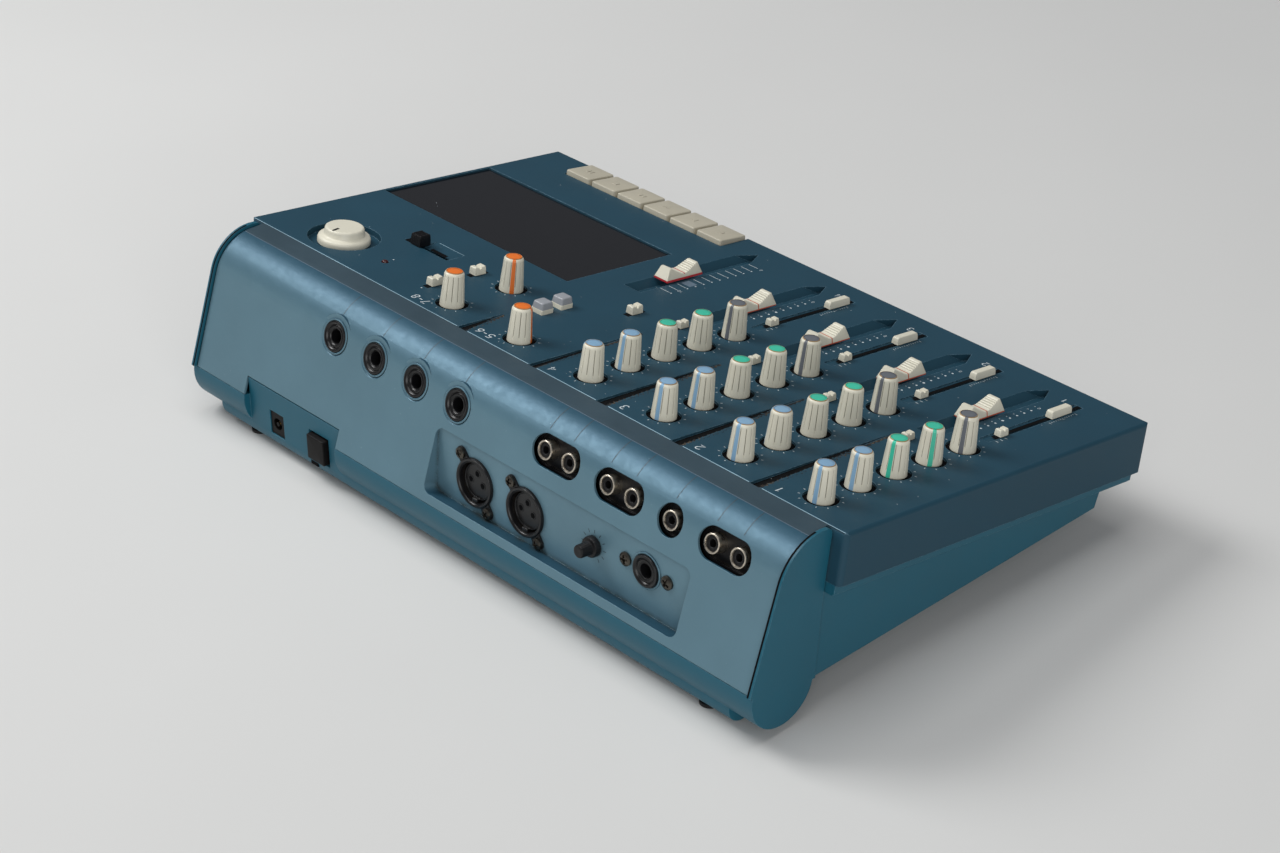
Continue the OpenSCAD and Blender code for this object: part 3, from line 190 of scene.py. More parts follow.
def strip(points, width, z=0.03):
    # flat printed line of even width through the points
    p = np.asarray(points, float)
    d = np.gradient(p, axis=0)
    n = np.stack([-d[:, 1], d[:, 0]], -1)
    n /= np.linalg.norm(n, axis=1)[:, None]
    pts = np.vstack([p + n * width / 2, p - n * width / 2])
    pts = np.column_stack([pts, np.full(len(pts), z)])
    k = np.arange(len(p) - 1)
    faces = np.stack([k + len(p), k + len(p) + 1, k + 1, k], -1)
    return pts, faces, np.zeros(len(faces), int)


def dot(x, y, r, z=0.03):
    # small printed disc
    return moved(turned([[r, z], [0, z]], 12), x, y)


def lofted(rings, slot=0):
    # closed rings one after another, both ends drawn together into flat faces
    r = np.asarray(rings, float)
    ends = [np.broadcast_to(e.mean(0), e.shape)[None] for e in (r[0], r[-1])]
    r = np.concatenate([ends[0], r, ends[1]])
    faces = gridFaces(r.shape[0], r.shape[1], True)
    return r.reshape(-1, 3), faces, np.full(len(faces), slot)


def prism(outline, z0, z1, slot=0):
    # the outline at two heights, closed at both ends
    o = np.asarray(outline, float)
    return lofted([np.column_stack([o, np.full(len(o), z)]) for z in (z0, z1)], slot)


def box(x0, x1, y0, y1, z0, z1, slot=0):
    # a prism on a rectangle
    return prism([(x0, y0), (x1, y0), (x1, y1), (x0, y1)], z0, z1, slot)


def arcSheet(x0, x1, a0, a1, lift=0.04, n=14):
    # thin print on the rounded top of the metal panel, between two angles round the bend's axis
    y, z, r = panelBend
    yz = arcPoints(y, z, r + lift, a0, a1, n)
    pts = np.vstack([np.column_stack([np.full(n, x), yz]) for x in (x0, x1)])
    k = np.arange(n - 1)
    faces = np.stack([k, k + 1, k + n + 1, k + n], -1)
    return pts, faces, np.zeros(n - 1, int)


def makePiece(name, part, matrix, materials, body, replaced, solid=True):
    # puts the shape's place into its mesh, merges double points and hands the piece to its body
    pts, faces, slots = part
    mesh = bpy.data.meshes.new(name)
    world = np.array(matrix)
    pts = pts @ world[:3, :3].T + world[:3, 3]
    mesh.from_pydata(pts.tolist(), [], faces.tolist())
    mesh.polygons.foreach_set("material_index", slots.astype(np.int32))
    bm = bmesh.new()
    bm.from_mesh(mesh)
    bmesh.ops.remove_doubles(bm, verts=bm.verts, dist=2e-6)
    bmesh.ops.dissolve_degenerate(bm, edges=bm.edges, dist=1e-7)
    if solid:
        bmesh.ops.recalc_face_normals(bm, faces=bm.faces)
    bm.to_mesh(mesh)
    bm.free()
    for m in materials:
        mesh.materials.append(m)
    mesh.shade_smooth()
    mesh.set_sharp_from_angle(angle=math.radians(40))
    obj = bpy.data.objects.new(name, mesh)
    bpy.context.scene.collection.objects.link(obj)
    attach(obj, body)
    if replaced:
        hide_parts(*replaced)


def fixedPiece(name, parts, matrix, materials):
    # prints and open rims that stay with the case
    makePiece(name, joined(parts), matrix, materials, "root", (), solid=False)


# materials

def linear(hexColour):
    # sRGB hex to the linear values that the shaders take
    c = np.array([int(hexColour[i:i + 2], 16) / 255 for i in (1, 3, 5)])
    c = np.where(c <= 0.04045, c / 12.92, ((c + 0.055) / 1.055) ** 2.4)
    return (*c.tolist(), 1.0)


def shades(colour, variation):
    # a little darker and a little lighter than the colour
    base = np.array(linear(colour)[:3])
    return [(*np.minimum(base * (1 + v), 1).tolist(), 1.0) for v in (-variation, variation)]


def setInputs(tree, node, inputs):
    # an input takes a value, or a link where a socket is given
    for key, value in inputs.items():
        if isinstance(value, bpy.types.NodeSocket):
            tree.links.new(value, node.inputs[key])
        else:
            node.inputs[key].default_value = value


def addNode(tree, kind, inputs=None, **settings):
    # adds a node with its settings and inputs
    node = tree.nodes.new(kind)
    for key, value in settings.items():
        setattr(node, key, value)
    setInputs(tree, node, inputs or {})
    return node


def startMaterial(name):
    # a shader with nothing but its output, and the object's own coordinates
    m = bpy.data.materials.new(name)
    m.use_nodes = True
    t = m.node_tree
    t.nodes.clear()
    shader = addNode(t, "ShaderNodeBsdfPrincipled")
    addNode(t, "ShaderNodeOutputMaterial", {0: shader.outputs[0]})
    place = addNode(t, "ShaderNodeTexCoord").outputs["Object"]
    return m, t, shader, place


def patches(t, place, scale, detail, roughness, low, high, a=0.0, b=1.0):
    # soft-edged patches: noise whose values from low to high become a to b; the scale is how many lie in a metre
    spots = addNode(t, "ShaderNodeTexNoise", {"Vector": place, "Scale": scale, "Detail": detail,
                                              "Roughness": roughness})
    return addNode(t, "ShaderNodeMapRange", {"Value": spots.outputs[0], "From Min": low, "From Max": high,
                                             "To Min": a, "To Max": b}).outputs[0]


def brokenUp(t, value, low, high, patch):
    # a mask that is nothing at low and full at high, broken up by patches
    mask = addNode(t, "ShaderNodeMapRange", {"Value": value, "From Min": low, "From Max": high})
    return addNode(t, "ShaderNodeMath", {0: mask.outputs[0], 1: patch}, operation="MULTIPLY").outputs[0]


def layColours(t, shader, colour, coats):
    # each coat's colour lies over what is below it, by its own mask
    for mask, coat in coats:
        colour = addNode(t, "ShaderNodeMix", {0: mask, 6: colour, 7: coat}, data_type="RGBA").outputs[2]
    setInputs(t, shader, {"Base Color": colour})


def mouldedPlastic(name, colour, roughness=0.42, grain=0.35, grainDepth=0.012, dust=0.0, dustColour="#8a7d66",
                   variation=0.10, rubAndHighlight=0.0, rubAndHighlightColour="#9ab4c0", bevel=0.25, specular=0.5):
    # injection-moulded plastic: even grain (size in mm, coarser than the real 0.1 mm so that it shows), soft sheen,
    # clouds of 36 mm, dust in corners in patches of 4 mm, and edges lightened in scuffs of 2.4 mm, partly rubbing and
    # partly a painted highlight
    m, t, shader, place = startMaterial(name)
    dark, light = shades(colour, variation)
    coats = [(patches(t, place, 28, 4, 0.6, 0.3, 0.7), light)]
    if dust:
        near = addNode(t, "ShaderNodeAmbientOcclusion", {"Distance": 2.5 * mm}, samples=4, inside=False)
        corner = brokenUp(t, near.outputs["AO"], 0.75, 0.25, patches(t, place, 260, 5, 0.7, 0.38, 0.62, 0, dust))
        coats.append((corner, linear(dustColour)))
    soft = addNode(t, "ShaderNodeBevel", {"Radius": bevel * mm}, samples=4).outputs[0]
    # the pale edge colour stands partly for rubbing and partly for a painted highlight on rounded edges
    if rubAndHighlight:
        geo = addNode(t, "ShaderNodeNewGeometry")
        turn = addNode(t, "ShaderNodeVectorMath", {0: soft, 1: geo.outputs["Normal"]}, operation="DOT_PRODUCT")
        scratch = patches(t, place, 420, 4, 0.65, 0.35, 0.6, 0, rubAndHighlight)
        coats.append((brokenUp(t, turn.outputs["Value"], 0.985, 0.80, scratch), linear(rubAndHighlightColour)))
    layColours(t, shader, dark, coats)
    sheen = patches(t, place, 28, 4, 0.6, 0.25, 0.75, roughness - 0.05, roughness + 0.07)
    fine = addNode(t, "ShaderNodeTexNoise", {"Vector": place, "Scale": 1000 / grain, "Detail": 2, "Roughness": 0.5})
    bump = addNode(t, "ShaderNodeBump", {"Height": fine.outputs[0], "Normal": soft, "Strength": 0.6,
                                         "Distance": grainDepth * mm})
    setInputs(t, shader, {"Roughness": sheen, "Normal": bump.outputs[0], "IOR": 1.49, "Specular IOR Level": specular})
    return m


def paintedMetal(name, colour, upwardShadeColour, roughness):
    # satin stove enamel on sheet steel: orange peel of 0.45 mm, a few pale scuffs of 1.1 mm, painted shade in
    # corners in patches of 5 mm, and painted shade where it faces upwards
    m, t, shader, place = startMaterial(name)
    dark, light = shades(colour, 0.07)
    geo = addNode(t, "ShaderNodeNewGeometry")
    level = addNode(t, "ShaderNodeSeparateXYZ", {0: geo.outputs["Normal"]})
    # upward faces take a darker colour: painted shade
    upwardShade = addNode(t, "ShaderNodeMapRange", {"Value": level.outputs["Z"], "From Min": 0.45, "From Max": 0.9})
    # corners and recess walls darkened by ambient occlusion: painted shade
    near = addNode(t, "ShaderNodeAmbientOcclusion", {"Distance": 4 * mm}, samples=4, inside=False)
    hollowDarkening = brokenUp(t, near.outputs["AO"], 0.7, 0.25, patches(t, place, 200, 5, 0.7, 0.3, 0.55))
    layColours(t, shader, dark, [(patches(t, place, 18, 3, 0.6, 0.3, 0.7), light),
                                 (upwardShade.outputs[0], linear(upwardShadeColour)),
                                 (patches(t, place, 900, 2, 0.6, 0.74, 0.80), linear("#8fa7b2")),
                                 (hollowDarkening, linear("#38403f"))])
    sheen = patches(t, place, 300, 4, 0.6, 0.3, 0.7, roughness - 0.05, roughness + 0.06)
    peel = addNode(t, "ShaderNodeTexNoise", {"Vector": place, "Scale": 2200, "Detail": 2, "Roughness": 0.5})
    soft = addNode(t, "ShaderNodeBevel", {"Radius": 0.35 * mm}, samples=4)
    bump = addNode(t, "ShaderNodeBump", {"Height": peel.outputs[0], "Normal": soft.outputs[0], "Strength": 0.5,
                                         "Distance": 0.01 * mm})
    setInputs(t, shader, {"Roughness": sheen, "Normal": bump.outputs[0], "Metallic": 0.3, "Specular IOR Level": 0.4})
    return m


def metal(name, colour, roughness=0.3, spots="#4a4238", spotAmount=0.5):
    # plated steel or brass, dulled by handling: darker spots of 1.1 mm over a grit of 0.3 mm
    m, t, shader, place = startMaterial(name)
    patch = patches(t, place, 900, 4, 0.7, 0.55, 0.75, 0, spotAmount)
    layColours(t, shader, linear(colour), [(patch, linear(spots))])
    sheen = patches(t, place, 500, 3, 0.6, 0.3, 0.7, roughness - 0.08, roughness + 0.12)
    fine = addNode(t, "ShaderNodeTexNoise", {"Vector": place, "Scale": 3000, "Detail": 2, "Roughness": 0.6})
    bump = addNode(t, "ShaderNodeBump", {"Height": fine.outputs[0], "Strength": 0.4, "Distance": 0.01 * mm})
    setInputs(t, shader, {"Roughness": sheen, "Normal": bump.outputs[0], "Metallic": 1.0})
    return m


# cover and case are textured ABS with a satin look and pale edges, partly rubbed and partly a painted highlight,
# caps and inlays smoother ABS, inks flat; connectors are dark nylon, their shells dull nickel
coverAbs = mouldedPlastic("coverSlateAbs", "#224454", 0.46, dust=0.08, rubAndHighlight=0.8, rubAndHighlightColour="#7fa6bb", bevel=0.45,
                          variation=0.06, specular=0.2)
caseAbs = mouldedPlastic("caseTealAbs", "#19586b", 0.42, dust=0.04, rubAndHighlight=0.35, rubAndHighlightColour="#7fb0c4", bevel=0.5,
                         variation=0.05, specular=0.35)
# the second colour is the painted shade on the panel's upward faces
panelPaint = paintedMetal("panelBlueEnamel", "#618290", "#2f5568", 0.40)
capCream = mouldedPlastic("capCreamAbs", "#dcd8c6", 0.38, variation=0.04, bevel=0.15)
inlayBlue = mouldedPlastic("inlayBlueAbs", "#83a9c6", 0.4, variation=0.05, bevel=0.1)
inlayGreen = mouldedPlastic("inlayGreenAbs", "#3fbfa0", 0.4, variation=0.05, bevel=0.1)
inlayGrey = mouldedPlastic("inlayGreyAbs", "#666a70", 0.4, variation=0.05, bevel=0.1)
inlayOrange = mouldedPlastic("inlayOrangeAbs", "#e87424", 0.4, variation=0.05, bevel=0.1)
capRed = mouldedPlastic("capCrimsonAbs", "#c03038", 0.4, variation=0.05, bevel=0.1)
keyBeige = mouldedPlastic("keyBeigeAbs", "#b8b2a0", 0.45, grain=0.4, variation=0.05, dust=0.3, bevel=0.3)
buttonGrey = mouldedPlastic("buttonGreyAbs", "#9a9da2", 0.35, variation=0.05, bevel=0.3)
blackAbs = mouldedPlastic("connectorBlackNylon", "#101012", 0.38, specular=0.3, dust=0.08, variation=0.1, bevel=0.2)
printWhite = mouldedPlastic("printWhiteInk", "#c9d2d6", 0.6, variation=0.08, bevel=0.02)
printDark = mouldedPlastic("printDarkInk", "#1d2a33", 0.6, variation=0.08, bevel=0.02)
rubberBlack = mouldedPlastic("footRubber", "#161616", 0.75, grain=0.5, bevel=0.3)
boardGreen = mouldedPlastic("boardEpoxy", "#24503a", 0.35, bevel=0.1)
socketBlack = mouldedPlastic("socketBlackAbs", "#0d0b0b", 0.45, specular=0.15, variation=0.15, bevel=0.15)
jackNylon = mouldedPlastic("jackBlackNylon", "#101011", 0.30, specular=0.4, variation=0.1, bevel=0.15)
# painted shade in the deep part of the knobs' flutes
fluteShade = mouldedPlastic("fluteShade", "#8a8778", 0.6, variation=0.12, bevel=0.05)
# a darker colour in the valleys between the fader ribs
ribValleyTone = mouldedPlastic("ribValleyTone", "#b3af9c", 0.55, variation=0.1, bevel=0.05)
printBand = mouldedPlastic("printBandFilm", "#33454f", 0.45, variation=0.12, bevel=0.02, specular=0.3)
# painted highlight lines along the cover's edges
paintedEdgeHighlight = mouldedPlastic("coverPaintedEdgeHighlight", "#94b4c4", 0.4, variation=0.25, bevel=0.05)
shadeBlack = mouldedPlastic("slotDarkness", "#08090b", 0.8, variation=0.1, bevel=0.02, specular=0.1)
glueTan = mouldedPlastic("glueYellowed", "#b9986c", 0.5, variation=0.1, bevel=0.05)
lineOrange = mouldedPlastic("lineOrangeRed", "#c2502e", 0.45, variation=0.06, bevel=0.05)
printGrey = mouldedPlastic("printGreyInk", "#5d7080", 0.6, variation=0.05, bevel=0.02)
leaderDark = mouldedPlastic("printDarkGrey", "#35424a", 0.5, variation=0.08, bevel=0.02)
lampRed = mouldedPlastic("lampDarkRed", "#3a1214", 0.18, variation=0.05, bevel=0.05)
nickel = metal("shellNickel", "#d6ccbc", 0.30, spotAmount=0.3)
screwZinc = metal("screwZinc", "#57534c", 0.36, spotAmount=0.7)
deckSteel = metal("deckZincSheet", "#a8aaac", 0.35)
brassTurned = metal("flywheelBrass", "#b09050", 0.3)


def smokedLid():
    # smoked polycarbonate window: near black, polished, with dust specks of 0.7 mm
    m, t, shader, place = startMaterial("lidSmokedPolycarbonate")
    specks = patches(t, place, 1500, 3, 0.7, 0.66, 0.8, 0, 0.35)
    layColours(t, shader, linear("#101115"), [(specks, linear("#5a5c60"))])
    sheen = patches(t, place, 60, 4, 0.6, 0.3, 0.7, 0.15, 0.18)
    setInputs(t, shader, {"Roughness": sheen, "IOR": 1.58, "Specular IOR Level": 0.35})
    return m


def dustOverShade():
    # grey-brown house dust packed against a step: fluff of 0.7 mm, with gaps of 6 mm where the near-black painted
    # shade below shows
    m, t, shader, place = startMaterial("stepDustOverPaintedShade")
    fluff = addNode(t, "ShaderNodeTexNoise", {"Vector": place, "Scale": 1400, "Detail": 5, "Roughness": 0.75})
    amount = brokenUp(t, fluff.outputs[0], 0.45, 0.66, patches(t, place, 160, 3, 0.6, 0.4, 0.6))
    layColours(t, shader, linear("#14171a"), [(amount, linear("#7d6a52"))])
    bump = addNode(t, "ShaderNodeBump", {"Height": fluff.outputs[0], "Distance": 0.1 * mm})
    setInputs(t, shader, {"Roughness": 0.95, "Normal": bump.outputs[0]})
    return m


lidSmoke = smokedLid()
stepDustOverShade = dustOverShade()
print("materials made")


def dress(names, material):
    # the CAD solids that stay in sight take a material as they are
    for n in names:
        mesh = cadNodes[n].data
        mesh.materials.clear()
        mesh.materials.append(material)


dress(["top_cover"], coverAbs)
dress(["bottom_case"], caseAbs)
dress(["rear_panel"], panelPaint)
dress(["cassette_lid"], lidSmoke)
dress(["phone_jacks", "rca_jacks", "xlr_sockets", "display_module", "slide_switch", "mic_trim_knob"], blackAbs)
dress(["dc_inlet", "power_button"], socketBlack)
dress(["screws"], screwZinc)
dress(["feet"], rubberBlack)
dress(["main_board"], boardGreen)
dress(["tape_deck_chassis", "head_plate"], deckSteel)
dress(["flywheel"], brassTurned)
dress(["supply_hub", "takeup_hub"], capCream)
dress(["push_buttons"], buttonGrey)
dress([n for n in cadNodes if n.endswith("_key")], keyBeige)
dress([n for n in cadNodes if n.startswith(("fader_", "master_")) or n.endswith(("_sliders", "_switches"))
       or ("_knob" in n and n != "mic_trim_knob")], capCream)

# knobs

knobSet = {
    "base": 5.42,  # radius at the foot
    "top": 4.45,  # radius under the shoulder
    "height": 15.25,
    "shoulder": 1.7,
    "flutes": 12,
    "fluteDepth": 0.42,
    "fluteWidth": 0.05,
    "hollowDarkening": 0.42,  # share of the full depth at which a flute is coloured darker, as painted shade
    "fluteFade": (0.8, 0.9, 1.6),  # over the foot, below the top, and how far it takes
    "fluteSteps": (0.0, 0.18, 0.35, 0.42, 0.46, 0.5, 0.54, 0.58, 0.65, 0.82),
    "band": 1.6,  # plain band at the foot
    "inlay": 3.45,  # radius of the coloured top
    "stripe": 0.36,  # half width of the pointer stripe, in parts of a flute
    "foot": -0.9,
    "rim": 0.22,  # glue line round the coloured top
}


def knobShape(s, pointer):
    # a taper with a rounded shoulder, its radius cut back by narrow flutes between the foot band and the shoulder
    side = np.linspace(0, 1, 12)
    shoulderR = s["shoulder"]
    edgeZ = s["height"] - shoulderR
    # a fine groove inside the glue line bounds the coloured top
    wall = np.column_stack([s["base"] + (s["top"] - s["base"]) * side, side * edgeZ])
    shoulder = arcPoints(s["top"] - shoulderR, edgeZ, shoulderR, 12, 80, 6)
    crown = np.array([[s["inlay"] + s["rim"], -0.06], [s["inlay"], -0.04], [s["inlay"] - 0.1, -0.22],
                      [s["inlay"] - 0.25, -0.1], [s["inlay"] * 0.6, 0], [0, 0]]) + (0, s["height"])
    foot = np.array([[0, s["foot"]], [s["base"] - 0.3, s["foot"]], [s["base"], s["foot"] + 0.3]])
    p = np.vstack([foot, wall[1:], shoulder, crown])
    steps = np.add.outer(np.arange(s["flutes"]), s["fluteSteps"]).ravel()
    n = len(steps)
    a = steps * 2 * np.pi / s["flutes"]
    r = np.repeat(p[:, :1], n, 1)
    z = np.repeat(p[:, 1:], n, 1)
    groove = np.exp(-((steps % 1 - 0.5) / s["fluteWidth"]) ** 2)
    low, under, high = s["fluteFade"]
    fade = np.clip((z - s["band"]) / low, 0, 1) * np.clip((s["height"] - under - z) / high, 0, 1)
    cut = groove[None, :] * fade
    r = r - s["fluteDepth"] * cut
    turn = np.radians(pointer)
    pts = np.stack([r * np.cos(a + turn), r * np.sin(a + turn), z], -1).reshape(-1, 3)
    faces = gridFaces(len(p), n, True)
    mid = pts[faces].mean(1)
    ang = np.arctan2(mid[:, 1], mid[:, 0])
    rad = np.hypot(mid[:, 0], mid[:, 1])
    off = np.abs(np.angle(np.exp(1j * (ang - turn)))) * s["flutes"] / (2 * np.pi)
    # the flutes' deep faces take the painted shade
    isFlute = cut.ravel()[faces].mean(1) > s["hollowDarkening"]
    isTop = mid[:, 2] > s["height"] - 1
    isRim = isTop & (rad < s["inlay"] + s["rim"])
    isCap = isTop & (rad < s["inlay"])
    isStripe = (off < s["stripe"]) & (mid[:, 2] > 0.2)
    return pts, faces, np.select([isCap | isStripe, isRim, isFlute], [1, 2, 3], 0)


rowInlays = {"eq_high": inlayBlue, "eq_low": inlayBlue, "effect_1": inlayGreen, "effect_2": inlayGreen,
             "pan": inlayGrey}
pointers = {  # where each stripe points, in degrees from the user's right, channels 1 to 4
    "eq_high": (103, 100, 102, 40), "eq_low": (100, 40, 98, 95), "effect_1": (104, 240, 240, 240),
    "effect_2": (134, 240, 240, 240), "pan": (118, 98, 100, 98),
    "level_5_6": 208, "level_7_8": 240, "monitor": 140,
}


def makeKnob(name, number, pointer, inlay):
    spot = panelPlace(f"{name}_turn{number}")
    body = f"{name}_knob{number}"
    part = moved(knobShape(knobSet, pointer), spot.x, spot.y)
    makePiece(f"{name}Cap{number[1:]}", part, onPanel, [capCream, inlay, glueTan, fluteShade], body, (body,))
    return spot.x, spot.y


def makeKnobs():
    spots = [makeKnob(row, f"_{c}", pointers[row][c - 1], inlay)
             for row, inlay in rowInlays.items() for c in range(1, 5)]
    return spots + [makeKnob(name, "", pointers[name], inlayOrange) for name in ("level_5_6", "level_7_8", "monitor")]


knobSpots = makeKnobs()
print("knobs made")

# faders, slide caps and buttons

faderSet = {
    "length": 22.5, "width": 8.8, "height": 6.3, "foot": 0.4,
    "crown": 5.9,  # width across the ridges
    "profile": [(0, 3.0), (1.3, 3.05), (7.8, 6.3), (8.8, 6.3), (11.25, 1.35)],  # height at distances from the middle
    "ribs": (1.9, 7.4, 1.1, 0.26),  # from, to, pitch and depth
    "line": 0.28, "band": 0.95, "fillet": 0.35,
}
channelSet = {**faderSet, "band": 0.45}
slideSet = {
    "length": 6.2, "width": 4.3, "height": 4.0, "foot": 0.3, "crown": 3.6,
    "profile": [(0, 2.9), (0.4, 2.9), (0.8, 3.8), (2.75, 4.0), (3.0, 3.7), (3.1, 2.8)], "fillet": 0.3,
}
smallSet = {**slideSet, "length": 5.0, "width": 3.6, "height": 3.3, "crown": 3.0,
            "profile": [(0, 2.5), (0.3, 2.5), (0.6, 3.15), (2.2, 3.3), (2.4, 3.05), (2.5, 2.3)]}
trimSet = {
    "length": 13.2, "width": 3.8, "height": 3.6, "foot": 0.3, "crown": 3.1,
    "profile": [(0, 3.6), (5.8, 3.6), (6.2, 3.4), (6.45, 3.0), (6.6, 2.2)], "fillet": 0.3,
}
blackSet = {
    "length": 6.5, "width": 6.5, "height": 5.5, "foot": 0.3, "crown": 5.9,
    "profile": [(0, 5.4), (2.7, 5.5), (3.05, 5.1), (3.25, 3.6)], "ribs": (0.0, 2.4, 1.2, 0.45), "fillet": 0.3,
}


def capShape(s):
    # one cross-section for every step along the slot; its top follows the profile, cut by fine ribs
    half = s["length"] / 2
    line = s.get("line", 0.3)
    marks = [v for d, _ in s["profile"] for v in (d, -d)] + [line, -line]
    y = np.unique(np.round(np.concatenate([np.linspace(-half, half, 121), marks]), 3))
    y = y[np.abs(y) <= half]
    top = np.interp(np.abs(y), *np.array(s["profile"]).T)
    if "ribs" in s:
        start, stop, pitch, depth = s["ribs"]
        inside = (np.abs(y) > start) & (np.abs(y) < stop)
        top = top - inside * depth * (0.5 - 0.5 * np.cos(2 * np.pi * (np.abs(y) - start) / pitch)) ** 2
    foot, f = s["foot"], s["fillet"]
    band = foot + s.get("band", 0.4)
    slope = (s["width"] - s["crown"]) / 2 / (s["height"] - foot)

    def edge(z):
        return s["width"] / 2 - slope * (z - foot)

    shoulder = np.maximum(top - f, band)
    low, bandTop = np.full_like(y, foot), np.full_like(y, band)
    side = [(edge(low), low), (edge(bandTop), bandTop), (edge(shoulder), shoulder),
            (edge(top) - 0.3 * f, top - 0.3 * f), (edge(top) - f, top)]
    loop = side + [(-x, z) for x, z in side[::-1]]
    rings = np.stack([np.stack([x, y, z], -1) for x, z in loop], 1)
    pts, faces, slots = lofted(rings)
    mid = pts[faces].mean(1)
    if "line" not in s:
        return pts, faces, slots
    red = (mid[:, 2] < band) | ((np.abs(mid[:, 1]) < line) & (mid[:, 2] > band + 0.8))
    start, stop, pitch, _ = s["ribs"]
    reach = np.abs(mid[:, 1])
    # the rib valleys take the darker third colour
    valley = np.cos(2 * np.pi * (reach - start) / pitch) < -0.6
    hollowDarkening = valley & (reach > start) & (reach < stop) & (np.abs(mid[:, 0]) < s["crown"] / 2)
    return pts, faces, np.select([red, hollowDarkening], [1, 2], 0)


knobLines = [-158.05 + 43.55 * c for c in range(4)]  # places on the panel, y counted back from its rear edge
faderLines = [x + 17.7 for x in knobLines]
inputLines = [x - 0.9 for x in knobLines]
faderRests = (-131.2, -131.2, -130.4, -129.3)
trimRests = (-161.0, -163.2, -162.0, -165.4)
inputRow, effectRow = -123.0, -85.5
masterPlace = (33.5, -125.8)
modePlaces = [(81, -21.5), (81, -46.5), (12.5, -78)]
blackPlace = (120.5, -46.5)
buttonSet = {
    "places": [(34.5, -43.5), (34.5, -55.0)],
    "frame": (7, 7, -1, 2.0, 0.6, 0.2),  # width, length, foot, top, corner, fillet
    "cap": (6.9, 6.9, 2.0, 5.0, 0.9, 0.7, 0.35),  # and draft
}


def makeCaps():
    for c in range(4):
        part = moved(capShape(channelSet), faderLines[c], faderRests[c])
        makePiece(f"faderCap{c + 1}", part, onPanel, [capCream, lineOrange, ribValleyTone], f"fader_{c + 1}",
                  (f"fader_{c + 1}",))
    makePiece("masterCap", moved(capShape(faderSet), *masterPlace), onPanel,
              [capCream, capRed, ribValleyTone], "master_fader", ("master_fader",))
    groups = {
        "trim_sliders": (trimSet, zip(inputLines, trimRests)),
        "input_switches": (smallSet, [(x, inputRow) for x in inputLines]),
        "effect_switches": (smallSet, [(x, effectRow) for x in faderLines]),
        "mode_switches": (slideSet, modePlaces),
    }
    for name, (shape, places) in groups.items():
        makePiece(name.replace("_s", "S") + "Caps", joined([moved(capShape(shape), x, y) for x, y in places]),
                  onPanel, [capCream], name, (name,))
    makePiece("blackSlideCap", moved(capShape(blackSet), *blackPlace, turn=90), onPanel, [blackAbs], "slide_switch",
              ("slide_switch",))
    buttons = []
    for place in buttonSet["places"]:
        buttons.append(moved(blockShape(*buttonSet["frame"]), *place))
        buttons.append(moved(blockShape(*buttonSet["cap"], slot=1), *place))
    makePiece("pushButtonCaps", joined(buttons), onPanel, [capCream, buttonGrey], "push_buttons",
              ("push_buttons",))


makeCaps()
print("fader and slide caps made")

# transport keys with raised signs

keySet = {
    "first": 150, "pitch": 18.15,  # place of the first key and the step to the next
    "width": 16.5, "length": 17.5, "rear": -171.0, "foot": -4.5, "top": 2.3, "fall": 0.6,
    "edges": (0.9, 0.6, 0.15),  # corner, fillet and draft
    "sign": 0.22, "sunk": 0.1,  # height of the signs above the key, and how deep they start
}
arrow = np.array([(-1.1, -1.3), (1.1, 0.0), (-1.1, 1.3)])
keySigns = {
    "pause": [box(-1.6, -0.6, -1.5, 1.5, 0, 1), box(0.6, 1.6, -1.5, 1.5, 0, 1)],
    "stop": [box(-1.4, 1.4, -1.4, 1.4, 0, 1)],
    "fast_forward": [prism(arrow + (-1.2, 0), 0, 1), prism(arrow + (1.2, 0), 0, 1)],
    "rewind": [prism(-arrow + (-1.2, 0), 0, 1), prism(-arrow + (1.2, 0), 0, 1)],
    "play": [prism(arrow * 1.25, 0, 1)],
    "record": [turned([(0, 0), (1.5, 0), (1.5, 1), (0, 1)], 24)],
}


def makeKeys(s):
    for k, (name, sign) in enumerate(keySigns.items()):
        x, y = s["first"] - s["pitch"] * k, s["rear"] - s["length"] / 2
        block = blockShape(s["width"], s["length"], s["foot"], s["top"], *s["edges"])
        pts, faces, slots = joined(sign)
        raised = (pts * (1, 1, s["sign"] + s["sunk"]) + (0, 0, s["top"] - s["sunk"]), faces, slots)
        pts, faces, slots = joined([block, raised])
        drop = s["fall"] * (0.5 - pts[:, 1] / s["length"]) * (pts[:, 2] > 0)  # the top falls to the user
        pts = pts - np.outer(drop, (0, 0, 1))
        makePiece(f"{name}KeyCap", moved((pts, faces, slots), x, y), onPanel, [keyBeige], f"{name}_key",
                  (f"{name}_key",))


makeKeys(keySet)
print("keys made")

# pitch knob

pitchSet = {
    "profile": [(0, -2.7), (11.7, -2.7), (12.15, -2.3), (12.15, -0.4), (11.7, 0.5), (10.8, 1.0), (9.6, 1.25),
                (9.2, 1.7), (9.05, 3.9), (8.8, 4.6), (8.2, 5.0), (7.6, 5.02), (0, 5.0)],
    "mark": (6.3, 2.0, 0.55, 0.6, 5.16),  # middle, half length, half width, depth and top
    "points": 101,
}


def makePitchKnob(s):
    spot = panelPlace("pitch_turn")
    body = turned(s["profile"], 96)
    middle, long, half, deep, top = s["mark"]
    mark = box(middle - long, middle + long, -half, half, top - deep, top, 1)
    makePiece("pitchCap", moved(joined([body, moved(mark, turn=s["points"])]), spot.x, spot.y), onPanel,
              [capCream, blackAbs], "pitch_knob", ("pitch_knob",))


makePitchKnob(pitchSet)

# rear connectors

